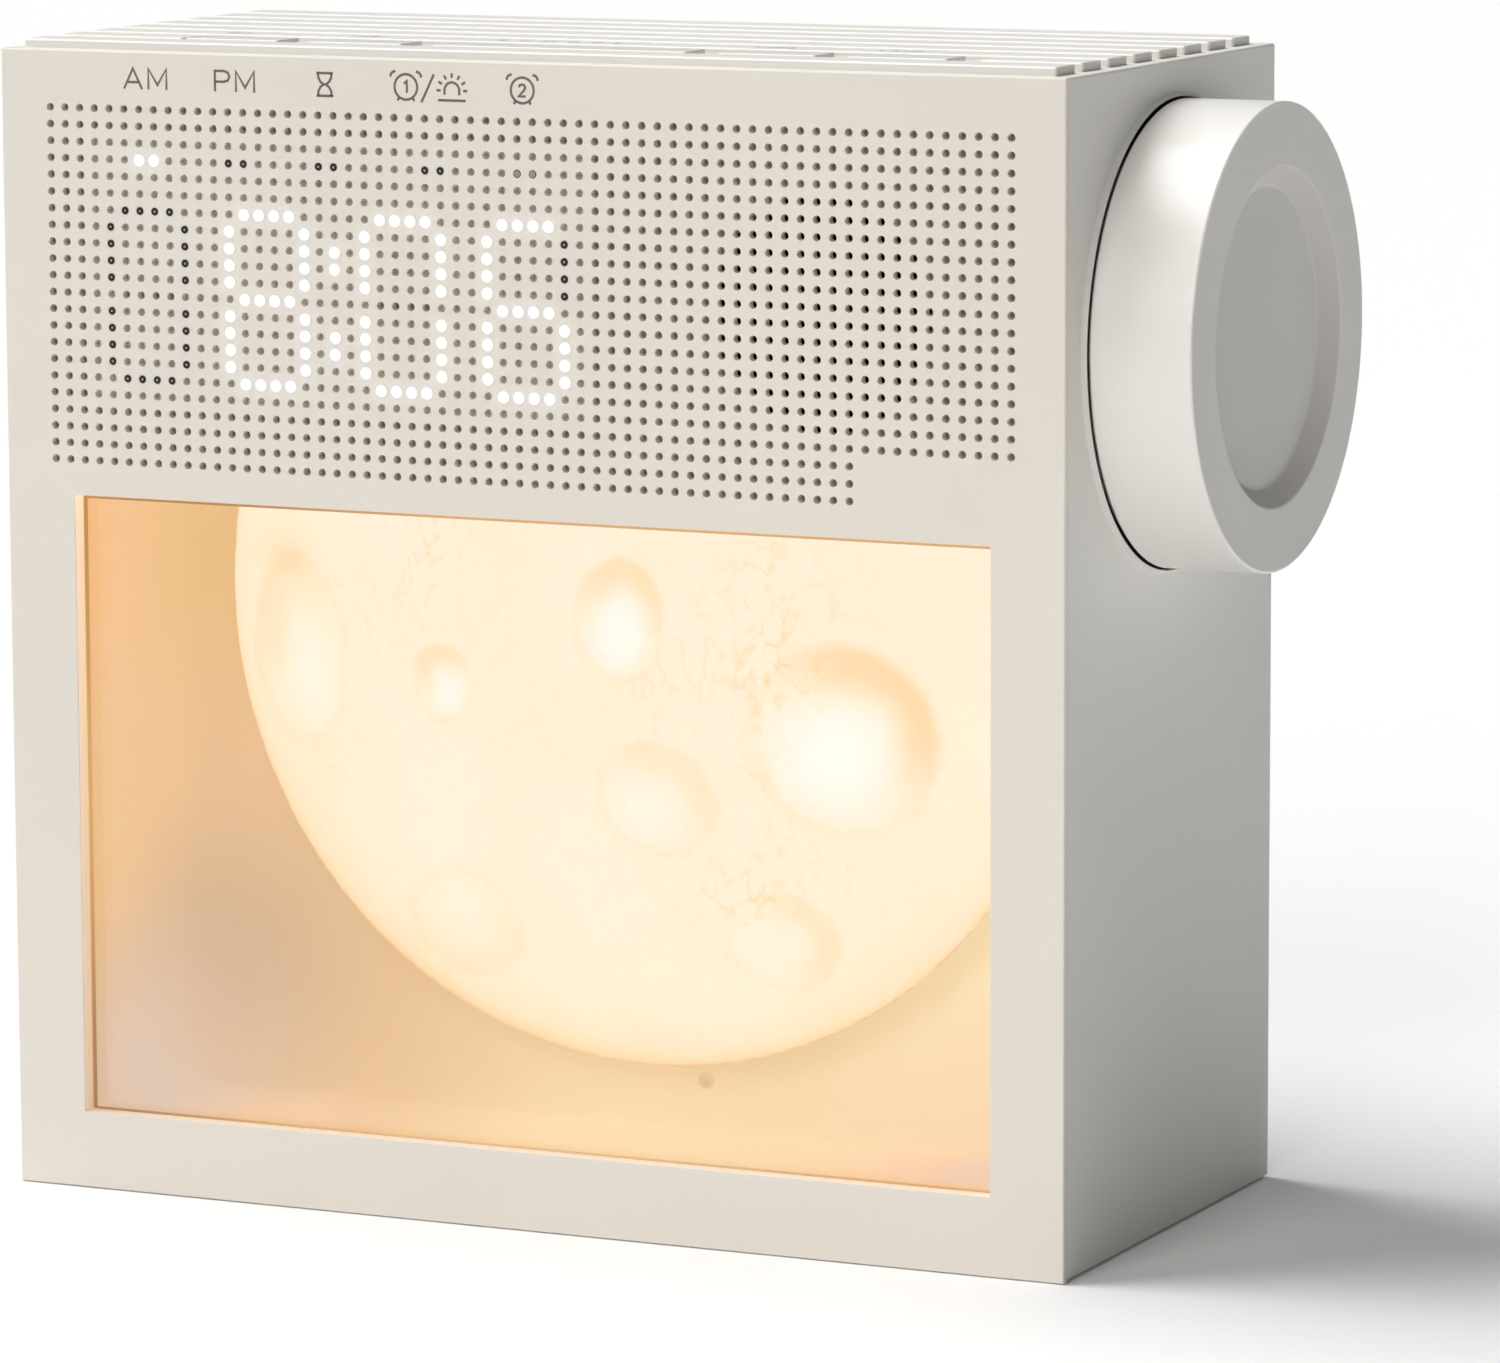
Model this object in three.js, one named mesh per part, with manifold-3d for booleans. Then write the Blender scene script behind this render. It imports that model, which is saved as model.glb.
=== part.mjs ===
// Light alarm clock with a moon lamp, in millimetres. +Z is up, the front faces -Y,
// and the origin is the centre of the base pad's underside.
import * as THREE from 'three';
import { mergeVertices } from 'three/addons/utils/BufferGeometryUtils.js';
import Module from 'manifold-3d';

const wasm = await Module();
wasm.setup();

// Driving dimensions

const fit = 0.3; // clearance between pieces that must not bind
const overcut = 1; // how far a cut runs past the face it opens
const overlap = 0.2; // how far a joined shape reaches into its wall

const bodyWidth = 150;
const bodyDepth = 70;
const bodyHeight = 150;
const wall = 2.5;
const frontWall = 1.8;
const fasciaThickness = 1.2;
const padProud = 0.3;
const padSunk = 1;
const padMargin = 4;

const ribWidth = 6;
const ribPitch = 8.36;
const ribHeight = 1.15;
const ribMargin = 2.25;
const ribRound = 0.2;

const keyRib = 1; // index of the rib that the keys are cut from
const keyCount = 5;
const longKey = 2; // index of the key that fills the rest of the row
const shortKeyLength = 13.6;
const keySlot = 4.4;
const keyNotch = 0.45; // rib between the keys below their tops
const keyRowLeft = 21.5; // bare rib and slot before the first key
const keyRowRight = 20.5;
const keyRowGap = 0.5; // end of the bare rib to the first key
const keyTravel = 0.5;
const keyFlange = 1;
const keyFlangeLip = 0.8;
const switchSide = 6;
const switchHeight = 3.4;
const switchFloor = 0.6;
const plungerRadius = 1.6;
const plungerLength = 2.8;
const boardThickness = 1.6;
const keyBoardDepth = 14;
const keyBoardEnd = 4; // board past its end posts' centres
const keyPostRadius = 2.5;

const holePitch = 2.185;
const holeDiameter = 1.1;
const holeRows = 22;
const holeSideMargin = 7.265;
const holeTopMargin = 7.47;
const digitColumns = [4, 12, 21, 29];
const digitTopRow = 6;
const segmentDots = 4;
const colonColumn = 19;
const colonRows = [8, 13];
const indicatorRow = 3;
const indicatorColumns = [6, 12, 18, 25, 31];
const pairDots = 2;
const slotWidth = 1.8;
const ledHeight = 1;
const displayMargin = 2.2;
const displayBoardLip = 2.5;

const windowSide = 10;
const windowBottom = 10;
const windowTopGap = 4.7; // last row of holes down to the window
const paneThickness = 1.6;
const paneLip = 3.5;
const boxWall = 2;
const boxLip = 2; // chamber wall set back from the window's edge
const moonSideMargin = 3.4; // rim inside the window's sides
const moonBottomMargin = 4.8; // rim above the window's lower edge
const moonRise = 14;
const moonDepth = 37; // rim plane behind the front face
const moonShell = 2.2;
const moonOpeningRim = 5;
const craterDepth = 1.2;
const craterFloor = 0.45; // floor radius as a share of the crater's
const craters = [
  { across: 33.3, up: -14.5, radius: 12 },
  { across: 2.9, up: 0.3, radius: 6.5 },
  { across: -24, up: -10, radius: 4.5 },
  { across: -49, up: -8, radius: 7 },
  { across: 7.2, up: -23.5, radius: 8 },
  { across: -24, up: -43, radius: 7 },
  { across: 22.3, up: -42.4, radius: 6.8 },
];
const moonLedRings = [{ radius: 14, count: 6 }, { radius: 34, count: 12 }];
const moonLedSide = 3;
const moonBoardLip = 3;

const speakerShift = -0.7; // centre from the middle of the space beside the display
const speakerDrop = 30.3; // centre below the deck
const speakerOpening = 15;
const speakerRadius = 19;
const speakerRimWidth = 2.8;
const gasketThickness = 1.5;
const flangeThickness = 1.6;
const basketDepth = 11;
const magnetRadius = 12;
const magnetDepth = 8.5;
const magnetPlate = 2;
const coilRadius = 6.5;
const coilThickness = 0.5;
const coilGap = 0.7;
const coilDepth = 4;
const rollWidth = 3.4;
const coneThickness = 0.5;
const coneDepth = 5.5;
const rollThickness = 0.4;

const knobLength = 13.6;
const knobPush = 0.5;
const knobWall = 2.5;
const knobEdge = 0.4;
const dishRadius = 21.5;
const dishDepth = 2.3;
const dishFillet = 0.8;
const dishFilletDrop = 0.25;
const collarGap = 0.6;
const collarHeight = 0.7;
const collarTop = 0.4;
const collarFlare = 0.8;
const collarSideMargin = 3.5;
const collarTopMargin = 3;
const shaftRadius = 3;
const bushingRadius = 3.9;
const bushingReach = 4;
const washerRadius = 6;
const washerThickness = 0.5;
const nutAcross = 11;
const nutThickness = 2;
const encoderSide = 13;
const encoderLength = 6;
const encoderEnd = 1.5;
const rotorRadius = 5;
const rotorThickness = 2.4;
const hubRadius = 6;
const encoderBoardSide = 18;

const coverThickness = 2.5;
const coverInset = 0.5;
const postSide = 9;
const postLength = 18;
const screwHeadRadius = 2.8;
const screwHead = 1.4;
const screwRadius = 1.2;
const screwLength = 9;
const ventCount = 6;
const ventLength = 40;
const ventWidth = 2;
const ventPitch = 5;
const ventHeight = 118;

const mainBoardSide = 6.5; // board in from the side walls
const mainBoardHeight = 40;
const mainBoardBottom = 14;
const standoffRadius = 3;
const boardToCover = 6.4;
const standoffInset = 4;
const chipSide = 10;
const chipHeight = 1.2;
const chipX = -22;
const cellRadius = 10;
const cellThickness = 3.2;
const holderWall = 1.2;
const holderX = 28;
const usbWidth = 8.9;
const usbHeight = 3.3;
const usbShell = 0.4;
const usbTongue = 0.7;
const usbTongueWidth = 6.4;
const usbTongueInset = 0.8;
const usbBase = 1;
const usbInset = 0.3; // mouth of the socket behind the cover's outer face
const usbX = 0;

// Planes that several pieces share

const sideX = bodyWidth / 2;
const frontY = -bodyDepth / 2;
const backY = bodyDepth / 2;
const bottomZ = padProud;
const topZ = bottomZ + bodyHeight;
const fasciaBackY = frontY + fasciaThickness;
const innerFrontY = fasciaBackY + frontWall;
const innerX = sideX - wall;
const floorZ = bottomZ + wall;
const deckUnderZ = topZ - wall;
const coverFrontY = backY - coverInset - coverThickness;
const coverBackY = backY - coverInset;
const knobRadius = backY - collarSideMargin - collarFlare - collarTop - collarGap;
const collarInner = knobRadius + collarGap;
const collarOuter = collarInner + collarTop + collarFlare;
const knobZ = topZ - collarTopMargin - collarOuter;

// Facets round a full turn

const facets = { large: 48, middle: 32, small: 20, screw: 10, hole: 4 };

// Small helpers

// Closed solid from a geometry, turned the right way out.
function solid(geometry) {
  const bare = geometry.clone();
  bare.deleteAttribute('normal');
  bare.deleteAttribute('uv');
  const merged = mergeVertices(bare, 1e-5);
  const corners = merged.getAttribute('position').array;
  const triangles = [];
  for (let i = 0; i < merged.index.count; i += 3) {
    const [a, b, c] = [0, 1, 2].map((k) => merged.index.getX(i + k));
    if (a !== b && b !== c && c !== a) triangles.push(a, b, c);
  }
  const make = (indices) => new wasm.Manifold(new wasm.Mesh({
    numProp: 3,
    vertProperties: Float32Array.from(corners),
    triVerts: Uint32Array.from(indices),
  }));
  const first = make(triangles);
  if (first.volume() > 0) return first;
  return make(triangles.reverse());
}

function block(x0, x1, y0, y1, z0, z1) {
  const geometry = new THREE.BoxGeometry(x1 - x0, y1 - y0, z1 - z0);
  geometry.translate((x0 + x1) / 2, (y0 + y1) / 2, (z0 + z1) / 2);
  return solid(geometry);
}

function rectangle(x0, x1, z0, z1) {
  const target = new THREE.Shape();
  target.moveTo(x0, z0);
  target.lineTo(x1, z0);
  target.lineTo(x1, z1);
  target.lineTo(x0, z1);
  target.closePath();
  return target;
}

// Shape drawn in X and Z, made solid from y0 to y1.
function upright(shape, y0, y1) {
  const options = { depth: y1 - y0, bevelEnabled: false, curveSegments: 4 };
  const geometry = new THREE.ExtrudeGeometry(shape, options);
  geometry.rotateX(Math.PI / 2);
  geometry.translate(0, y1, 0);
  return solid(geometry);
}

// Closed profile of [radius, along] points spun round an axis that runs along +Y.
function spinY(profile, x, z, segments = facets.middle) {
  const points = [...profile, profile[0]].map(([r, along]) => new THREE.Vector2(r, along));
  const geometry = new THREE.LatheGeometry(points, segments);
  geometry.translate(x, 0, z);
  return solid(geometry);
}

// The same round the knob's axis, which runs along +X.
function spinKnob(profile, segments = facets.small) {
  const points = [...profile, profile[0]].map(([r, along]) => new THREE.Vector2(r, along));
  const geometry = new THREE.LatheGeometry(points, segments);
  geometry.rotateZ(-Math.PI / 2);
  geometry.translate(0, 0, knobZ);
  return solid(geometry);
}

function rodY(radius, y0, y1, x, z, segments = facets.screw) {
  return spinY([[0, y0], [radius, y0], [radius, y1], [0, y1]], x, z, segments);
}

function rodZ(radius, z0, z1, x, y, segments = facets.screw) {
  const geometry = new THREE.CylinderGeometry(radius, radius, z1 - z0, segments);
  geometry.rotateX(Math.PI / 2);
  geometry.translate(x, y, (z0 + z1) / 2);
  return solid(geometry);
}

function rodKnob(radius, x0, x1, segments = facets.small) {
  return spinKnob([[0, x0], [radius, x0], [radius, x1], [0, x1]], segments);
}

// Points on an arc of a profile, from one angle to another in degrees.
function arc(centreR, centreA, radius, from, to, steps) {
  return Array.from({ length: steps + 1 }, (unused, i) => {
    const angle = THREE.MathUtils.degToRad(from + ((to - from) * i) / steps);
    return [centreR + radius * Math.cos(angle), centreA + radius * Math.sin(angle)];
  });
}

const clock = new THREE.Group();

const finishes = {
  shell: { color: '#e6ddd2', roughness: 0.55, metalness: 0 },
  keys: { color: '#ebe3d9', roughness: 0.55, metalness: 0 },
  knob: { color: '#e3dad0', roughness: 0.45, metalness: 0 },
  rubber: { color: '#3a3937', roughness: 0.9, metalness: 0 },
  pane: { color: '#f3e6d4', roughness: 0.1, metalness: 0 },
  moon: { color: '#fff3d7', roughness: 0.7, metalness: 0 },
  chamber: { color: '#fbe3c4', roughness: 0.7, metalness: 0 },
  board: { color: '#2f5a44', roughness: 0.5, metalness: 0 },
  black: { color: '#1b1a19', roughness: 0.7, metalness: 0 },
  foam: { color: '#2b2a29', roughness: 0.95, metalness: 0 },
  paper: { color: '#242322', roughness: 0.9, metalness: 0 },
  steel: { color: '#b9babb', roughness: 0.35, metalness: 1 },
  zinc: { color: '#8f9093', roughness: 0.5, metalness: 1 },
  white: { color: '#e9e7e2', roughness: 0.5, metalness: 0 },
};

function add(name, body, finish) {
  const data = body.getMesh();
  const geometry = new THREE.BufferGeometry();
  geometry.setAttribute('position', new THREE.BufferAttribute(Float32Array.from(data.vertProperties), 3));
  geometry.setIndex(Array.from(data.triVerts));
  geometry.computeVertexNormals();
  const mesh = new THREE.Mesh(geometry, new THREE.MeshStandardMaterial(finishes[finish]));
  mesh.name = name;
  clock.add(mesh);
}

// Rib section in Y and Z, run along X from x0 to x1.
function ribBar(x0, x1, centreY, z0, crown) {
  const half = ribWidth / 2;
  const section = new THREE.Shape();
  section.moveTo(-half, z0);
  section.lineTo(half, z0);
  section.lineTo(half, crown - ribRound);
  section.absarc(half - ribRound, crown - ribRound, ribRound, 0, Math.PI / 2, false);
  section.lineTo(-half + ribRound, crown);
  section.absarc(-half + ribRound, crown - ribRound, ribRound, Math.PI / 2, Math.PI, false);
  section.closePath();
  const options = { depth: x1 - x0, bevelEnabled: false, curveSegments: 2 };
  const geometry = new THREE.ExtrudeGeometry(section, options);
  geometry.rotateY(Math.PI / 2);
  geometry.rotateX(Math.PI / 2);
  geometry.translate(x0, centreY, 0);
  return solid(geometry);
}

const crownZ = topZ + ribHeight;
const ribY = (index) => frontY + ribMargin + ribWidth / 2 + index * ribPitch;
const ribEndX = sideX - ribMargin;
const ribCount = Math.floor((bodyDepth - 2 * ribMargin - ribWidth) / ribPitch + 1e-6) + 1;

// Places of the keys along their rib

const keyRowLength = bodyWidth - keyRowLeft - keyRowRight;
const longKeyLength = keyRowLength - (keyCount - 1) * (shortKeyLength + keySlot);
const keys = [];
let keyStart = -sideX + keyRowLeft;
for (let i = 0; i < keyCount; i += 1) {
  const length = i === longKey ? longKeyLength : shortKeyLength;
  keys.push({ x0: keyStart, x1: keyStart + length });
  keyStart += length + keySlot;
}
const keyY = ribY(keyRib);
const keyRowStart = keys[0].x0;
const keyRowEnd = keys[keys.length - 1].x1;
const flangeTopZ = deckUnderZ - fit;
const flangeUnderZ = flangeTopZ - keyFlange;
const switchTopZ = flangeUnderZ - keyTravel - fit;
const keyBoardTopZ = switchTopZ - switchHeight;
const keyBoardUnderZ = keyBoardTopZ - boardThickness;
const keyPostReach = keyFlangeLip + fit + keyPostRadius;
const keyPostXs = [keyRowStart - keyPostReach, keyRowEnd + keyPostReach];

// Places of the holes, the display's segments and the speaker

const holeX = (column) => -sideX + holeSideMargin + column * holePitch;
const holeZ = (row) => topZ - holeTopMargin - row * holePitch;
const holeColumns = Math.floor((bodyWidth - 2 * holeSideMargin) / holePitch + 1e-6) + 1;
const speakerZ = topZ - speakerDrop;
const digitWidth = segmentDots + 1;
const segmentPitch = segmentDots + 1;

const segments = [];
for (const column of digitColumns) {
  for (const row of [0, segmentPitch, 2 * segmentPitch]) {
    segments.push({ column: column + 1, row: digitTopRow + row, across: segmentDots, down: 1 });
  }
  for (const side of [0, digitWidth]) {
    segments.push({ column: column + side, row: digitTopRow + 1, across: 1, down: segmentDots });
    const lowerRow = digitTopRow + segmentPitch + 1;
    segments.push({ column: column + side, row: lowerRow, across: 1, down: segmentDots });
  }
}
for (const row of colonRows) segments.push({ column: colonColumn, row, across: 1, down: pairDots });
for (const column of indicatorColumns) {
  segments.push({ column, row: indicatorRow, across: pairDots, down: 1 });
}

// Rectangle of one segment, grown by half a width on every side.
function segmentSpan(segment, half) {
  return [
    holeX(segment.column) - half,
    holeX(segment.column + segment.across - 1) + half,
    holeZ(segment.row + segment.down - 1) - half,
    holeZ(segment.row) + half,
  ];
}

const spans = segments.map((segment) => segmentSpan(segment, slotWidth / 2));
const display = {
  x0: Math.min(...spans.map((span) => span[0])) - displayMargin,
  x1: Math.max(...spans.map((span) => span[1])) + displayMargin,
  z0: Math.min(...spans.map((span) => span[2])) - displayMargin,
  z1: Math.max(...spans.map((span) => span[3])) + displayMargin,
};

const speakerX = (display.x1 + displayBoardLip + innerX) / 2 + speakerShift;

const holes = [];
for (const segment of segments) {
  for (let i = 0; i < segment.across; i += 1) {
    for (let k = 0; k < segment.down; k += 1) {
      holes.push([holeX(segment.column + i), holeZ(segment.row + k)]);
    }
  }
}
const speakerSpan = speakerOpening - holeDiameter / 2;
for (let row = 0; row < holeRows; row += 1) {
  for (let column = 0; column < holeColumns; column += 1) {
    const [x, z] = [holeX(column), holeZ(row)];
    if (Math.hypot(x - speakerX, z - speakerZ) < speakerSpan) holes.push([x, z]);
  }
}

// Window and moon chamber

const lampWindow = {
  x0: -sideX + windowSide,
  x1: sideX - windowSide,
  z0: bottomZ + windowBottom,
  z1: holeZ(holeRows - 1) - windowTopGap,
};
const grow = (area, by) => [area.x0 - by, area.x1 + by, area.z0 - by, area.z1 + by];
const paneBackY = innerFrontY + paneThickness;
const moonRimY = frontY + moonDepth;
const boxBackY = moonRimY + boxWall;
const moonRadius = lampWindow.x1 - moonSideMargin;
const moonZ = lampWindow.z0 + moonBottomMargin + moonRadius;

// Housing

function buildHousing() {
  let body = block(-sideX, sideX, fasciaBackY, backY, bottomZ, topZ);
  body = body.subtract(block(-innerX, innerX, innerFrontY, backY + overcut, floorZ, deckUnderZ));
  const through = [fasciaBackY - overcut, innerFrontY + overcut];
  body = body.subtract(upright(rectangle(...grow(lampWindow, 0)), ...through));
  body = body.subtract(upright(rectangle(...grow(display, 0)), ...through));
  body = body.subtract(rodY(speakerOpening, ...through, speakerX, speakerZ, facets.middle));
  for (let i = 0; i < ribCount; i += 1) {
    if (i !== keyRib) body = body.add(ribBar(-ribEndX, ribEndX, ribY(i), topZ - overlap, crownZ));
  }
  const rightStart = keyRowEnd + keySlot;
  body = body.add(ribBar(-ribEndX, keyRowStart - keyRowGap, keyY, topZ - overlap, crownZ));
  body = body.add(ribBar(rightStart, ribEndX, keyY, topZ - overlap, crownZ));
  body = body.add(ribBar(keyRowStart, rightStart + overlap, keyY, topZ - overlap, crownZ - keyNotch));
  for (const key of keys) {
    const halfY = ribWidth / 2 + fit;
    const opening = [key.x0 - fit, key.x1 + fit, keyY - halfY, keyY + halfY];
    body = body.subtract(block(...opening, deckUnderZ - overcut, topZ + overcut));
  }
  for (const x of keyPostXs) {
    body = body.add(rodZ(keyPostRadius, keyBoardTopZ, deckUnderZ + overlap, x, keyY));
    body = body.subtract(rodZ(screwRadius + fit, keyBoardTopZ - overcut, deckUnderZ - fit, x, keyY));
  }
  const flare = arc(0, 0, 1, 270, 180, 3).map(([r, along]) => [
    collarOuter + collarFlare * r,
    sideX + collarHeight * (1 + along),
  ]);
  const collar = [
    [collarInner, sideX - overlap],
    [collarOuter, sideX - overlap],
    ...flare,
    [collarInner, sideX + collarHeight],
  ];
  body = body.add(spinKnob(collar, facets.large));
  const bore = bushingRadius + fit;
  body = body.subtract(rodKnob(bore, innerX - overcut, sideX + overcut));
  for (const [x, z] of postCentres()) {
    const half = postSide / 2;
    body = body.add(block(x - half, x + half, coverFrontY - postLength, coverFrontY, z - half, z + half));
    body = body.subtract(rodY(screwRadius + fit, coverFrontY - screwLength, coverFrontY + overcut, x, z));
  }
  const pad = padBounds(fit);
  body = body.subtract(block(...pad, bottomZ - overcut, bottomZ + padSunk));
  return body;
}

function postCentres() {
  const x = innerX + overlap - postSide / 2;
  const zs = [floorZ - overlap + postSide / 2, deckUnderZ + overlap - postSide / 2];
  return zs.flatMap((z) => [[-x, z], [x, z]]);
}

function padBounds(clearance) {
  const x = sideX - padMargin + clearance;
  const y = backY - padMargin + clearance;
  return [-x, x, -y, y];
}

add('housing', buildHousing(), 'shell');
add('base_pad', block(...padBounds(0), 0, bottomZ + padSunk), 'rubber');

// Fascia

const drills = holes.map(([x, z]) => (
  rodY(holeDiameter / 2, frontY - overcut, fasciaBackY + overcut, x, z, facets.hole)
));
const face = block(-sideX, sideX, frontY, fasciaBackY, bottomZ, topZ);
const windowCut = upright(rectangle(...grow(lampWindow, 0)), frontY - overcut, fasciaBackY + overcut);
add('fascia', face.subtract(wasm.Manifold.union([windowCut, ...drills])), 'shell');

// Display

const mask = upright(rectangle(...grow(display, -fit)), fasciaBackY, innerFrontY);
const slots = spans.map((span) => (
  upright(rectangle(...span), fasciaBackY - overcut, innerFrontY + overcut)
));
add('display_mask', mask.subtract(wasm.Manifold.union(slots)), 'white');

let displayBoard = upright(
  rectangle(...grow(display, displayBoardLip)),
  innerFrontY,
  innerFrontY + boardThickness,
);
for (const segment of segments) {
  const led = rectangle(...segmentSpan(segment, slotWidth / 2 - fit));
  displayBoard = displayBoard.add(upright(led, innerFrontY - ledHeight, innerFrontY + overlap));
}
add('display_board', displayBoard, 'board');

// Window pane, chamber and moon

add('window_pane', upright(rectangle(...grow(lampWindow, paneLip)), innerFrontY, paneBackY), 'pane');

function moonDisc(radius, ceiling, y0, y1) {
  const disc = rodY(radius, y0, y1, 0, moonZ, facets.middle);
  return disc.subtract(block(-radius, radius, y0 - overcut, y1 + overcut, ceiling, moonZ + radius));
}

const moonCeiling = lampWindow.z1 + boxLip - fit;
const openingRadius = moonRadius - moonOpeningRim;
const mainBoardBackY = coverFrontY - boardToCover;
const mainBoardFrontY = mainBoardBackY - boardThickness;
const mainBoardWidth = 2 * (innerX - mainBoardSide);
const standoffs = [];
for (const x of [-1, 1]) {
  for (const z of [standoffInset, mainBoardHeight - standoffInset]) {
    standoffs.push([x * (mainBoardWidth / 2 - standoffInset), bottomZ + mainBoardBottom + z]);
  }
}

function buildLightBox() {
  let body = upright(rectangle(...grow(lampWindow, boxLip + boxWall)), paneBackY, boxBackY);
  body = body.subtract(upright(rectangle(...grow(lampWindow, boxLip)), paneBackY - overcut, moonRimY));
  const opening = [openingRadius, moonCeiling - moonOpeningRim, moonRimY - overcut, boxBackY + overcut];
  body = body.subtract(moonDisc(...opening));
  for (const [x, z] of standoffs) {
    body = body.add(rodY(standoffRadius, boxBackY - overlap, mainBoardFrontY, x, z));
    const pilot = [mainBoardFrontY - screwLength, mainBoardFrontY + overcut];
    body = body.subtract(rodY(screwRadius + fit, ...pilot, x, z));
  }
  return body;
}

add('light_box', buildLightBox(), 'chamber');

function buildMoon() {
  const cylinderAxis = new THREE.Vector3(0, 1, 0);
  const ball = (moonRadius ** 2 + moonRise ** 2) / (2 * moonRise);
  const centreY = moonRimY - moonRise + ball;
  const outerEdge = THREE.MathUtils.radToDeg(Math.asin(moonRadius / ball));
  const innerBall = ball - moonShell;
  const innerEdge = THREE.MathUtils.radToDeg(Math.acos((centreY - moonRimY) / innerBall));
  const outside = arc(0, centreY, ball, -90 + outerEdge, -90, 8);
  const inside = arc(0, centreY, innerBall, -90, -90 + innerEdge, 3);
  outside[outside.length - 1][0] = 0;
  inside[0][0] = 0;
  let body = spinY([...outside, ...inside], 0, moonZ, facets.large);
  for (const { across, up, radius } of craters) {
    const seat = new THREE.Vector3(across, -Math.sqrt(ball ** 2 - across ** 2 - up ** 2), up);
    const outward = seat.clone().normalize();
    const cutter = new THREE.CylinderGeometry(radius, craterFloor * radius, 2 * craterDepth, facets.screw);
    cutter.applyQuaternion(new THREE.Quaternion().setFromUnitVectors(cylinderAxis, outward));
    cutter.translate(seat.x, seat.y + centreY, seat.z + moonZ);
    body = body.subtract(solid(cutter));
  }
  const reach = moonRadius + overcut;
  const depth = [moonRimY - moonRise - overcut, moonRimY + overcut];
  return body.subtract(block(-reach, reach, ...depth, moonCeiling, moonZ + reach));
}

add('moon_dome', buildMoon(), 'moon');

const moonBoardRadius = openingRadius + moonBoardLip;
let moonBoard = moonDisc(moonBoardRadius, moonCeiling - fit, boxBackY, boxBackY + boardThickness);
for (const ring of moonLedRings) {
  for (let i = 0; i < ring.count; i += 1) {
    const angle = (2 * Math.PI * i) / ring.count;
    const [x, z] = [ring.radius * Math.cos(angle), moonZ + ring.radius * Math.sin(angle)];
    const half = moonLedSide / 2;
    if (z + half > moonCeiling - moonOpeningRim - fit) continue;
    const depth = [boxBackY - ledHeight, boxBackY + overlap];
    moonBoard = moonBoard.add(block(x - half, x + half, ...depth, z - half, z + half));
  }
}
add('moon_led_board', moonBoard, 'white');

// Speaker

const gasketBackY = innerFrontY + gasketThickness;
const rimInner = speakerRadius - speakerRimWidth;
const basketBackY = gasketBackY + basketDepth + flangeThickness;
const magnetFrontY = basketBackY;
const magnetBackY = magnetFrontY + magnetDepth;
const coilOuter = coilRadius;
const coilInner = coilRadius - coilThickness;
const throat = coilOuter + coilGap;
const coneEdgeY = gasketBackY;

add('speaker_gasket', spinY([
  [rimInner, innerFrontY],
  [speakerRadius, innerFrontY],
  [speakerRadius, gasketBackY],
  [rimInner, gasketBackY],
], speakerX, speakerZ, facets.small), 'foam');

const flangeBackY = gasketBackY + flangeThickness;
const basketPlateY = basketBackY - flangeThickness;
add('speaker_frame', spinY([
  [speakerRadius, gasketBackY],
  [speakerRadius, flangeBackY],
  [rimInner + flangeThickness, flangeBackY],
  [magnetRadius, basketPlateY],
  [magnetRadius, basketBackY],
  [throat, basketBackY],
  [throat, basketPlateY],
  [magnetRadius - flangeThickness, basketPlateY],
  [rimInner, flangeBackY],
  [rimInner, gasketBackY],
], speakerX, speakerZ, facets.small), 'zinc');

const rollOuter = rimInner - fit;
const rollInner = rollOuter - rollWidth;
const coneRadius = rollInner - fit;
const rollMiddle = (rollOuter + rollInner) / 2;
const rollSpan = (rollOuter - rollInner) / 2;
const rollHeight = gasketThickness - fit;
const rollArc = (height, span, from, to) => arc(0, 0, 1, from, to, 4).map(([r, along]) => [
  rollMiddle + span * r,
  coneEdgeY + height * along,
]);
add('speaker_surround', spinY([
  ...rollArc(rollHeight, rollSpan, 0, -180),
  ...rollArc(rollHeight - rollThickness, rollSpan - rollThickness, -180, 0),
], speakerX, speakerZ, facets.small), 'rubber');

const coneNeckY = coneEdgeY + coneDepth;
const capY = coneNeckY - coneThickness;
add('speaker_cone', spinY([
  [coneRadius, coneEdgeY],
  [coneRadius, coneEdgeY + coneThickness],
  [coilOuter, coneNeckY + coneThickness],
  [coilOuter, magnetFrontY + coilDepth],
  [coilInner, magnetFrontY + coilDepth],
  [coilInner, coneNeckY + coneThickness],
  [0, coneNeckY],
  [0, capY - coneThickness],
  [coilOuter, capY],
  [coneRadius - coneThickness, coneEdgeY],
], speakerX, speakerZ, facets.small), 'paper');

const poleRadius = coilInner - coilGap;
add('speaker_magnet', spinY([
  [0, magnetFrontY],
  [poleRadius, magnetFrontY],
  [poleRadius, magnetBackY - magnetPlate],
  [throat, magnetBackY - magnetPlate],
  [throat, magnetFrontY],
  [magnetRadius, magnetFrontY],
  [magnetRadius, magnetBackY],
  [0, magnetBackY],
], speakerX, speakerZ, facets.small), 'zinc');

// Knob and its push encoder

const skirtX = sideX + knobPush + fit;
const knobFaceX = skirtX + knobLength;
const dishX = knobFaceX - dishDepth;
const ceilingX = dishX - knobWall;
const dishFloorRadius = dishRadius - dishDepth;
const knobProfile = [
  [knobRadius - knobWall, skirtX],
  [knobRadius, skirtX],
  ...arc(knobRadius - knobEdge, knobFaceX - knobEdge, knobEdge, 0, 90, 3),
  [dishRadius + dishFillet, knobFaceX],
  [dishRadius, knobFaceX - dishFilletDrop],
  [dishFloorRadius, dishX + dishFilletDrop],
  [dishFloorRadius - dishFillet, dishX],
  [0, dishX],
  [0, ceilingX],
  [knobRadius - knobWall, ceilingX],
];
add('knob_shell', spinKnob(knobProfile, facets.large), 'knob');

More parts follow.
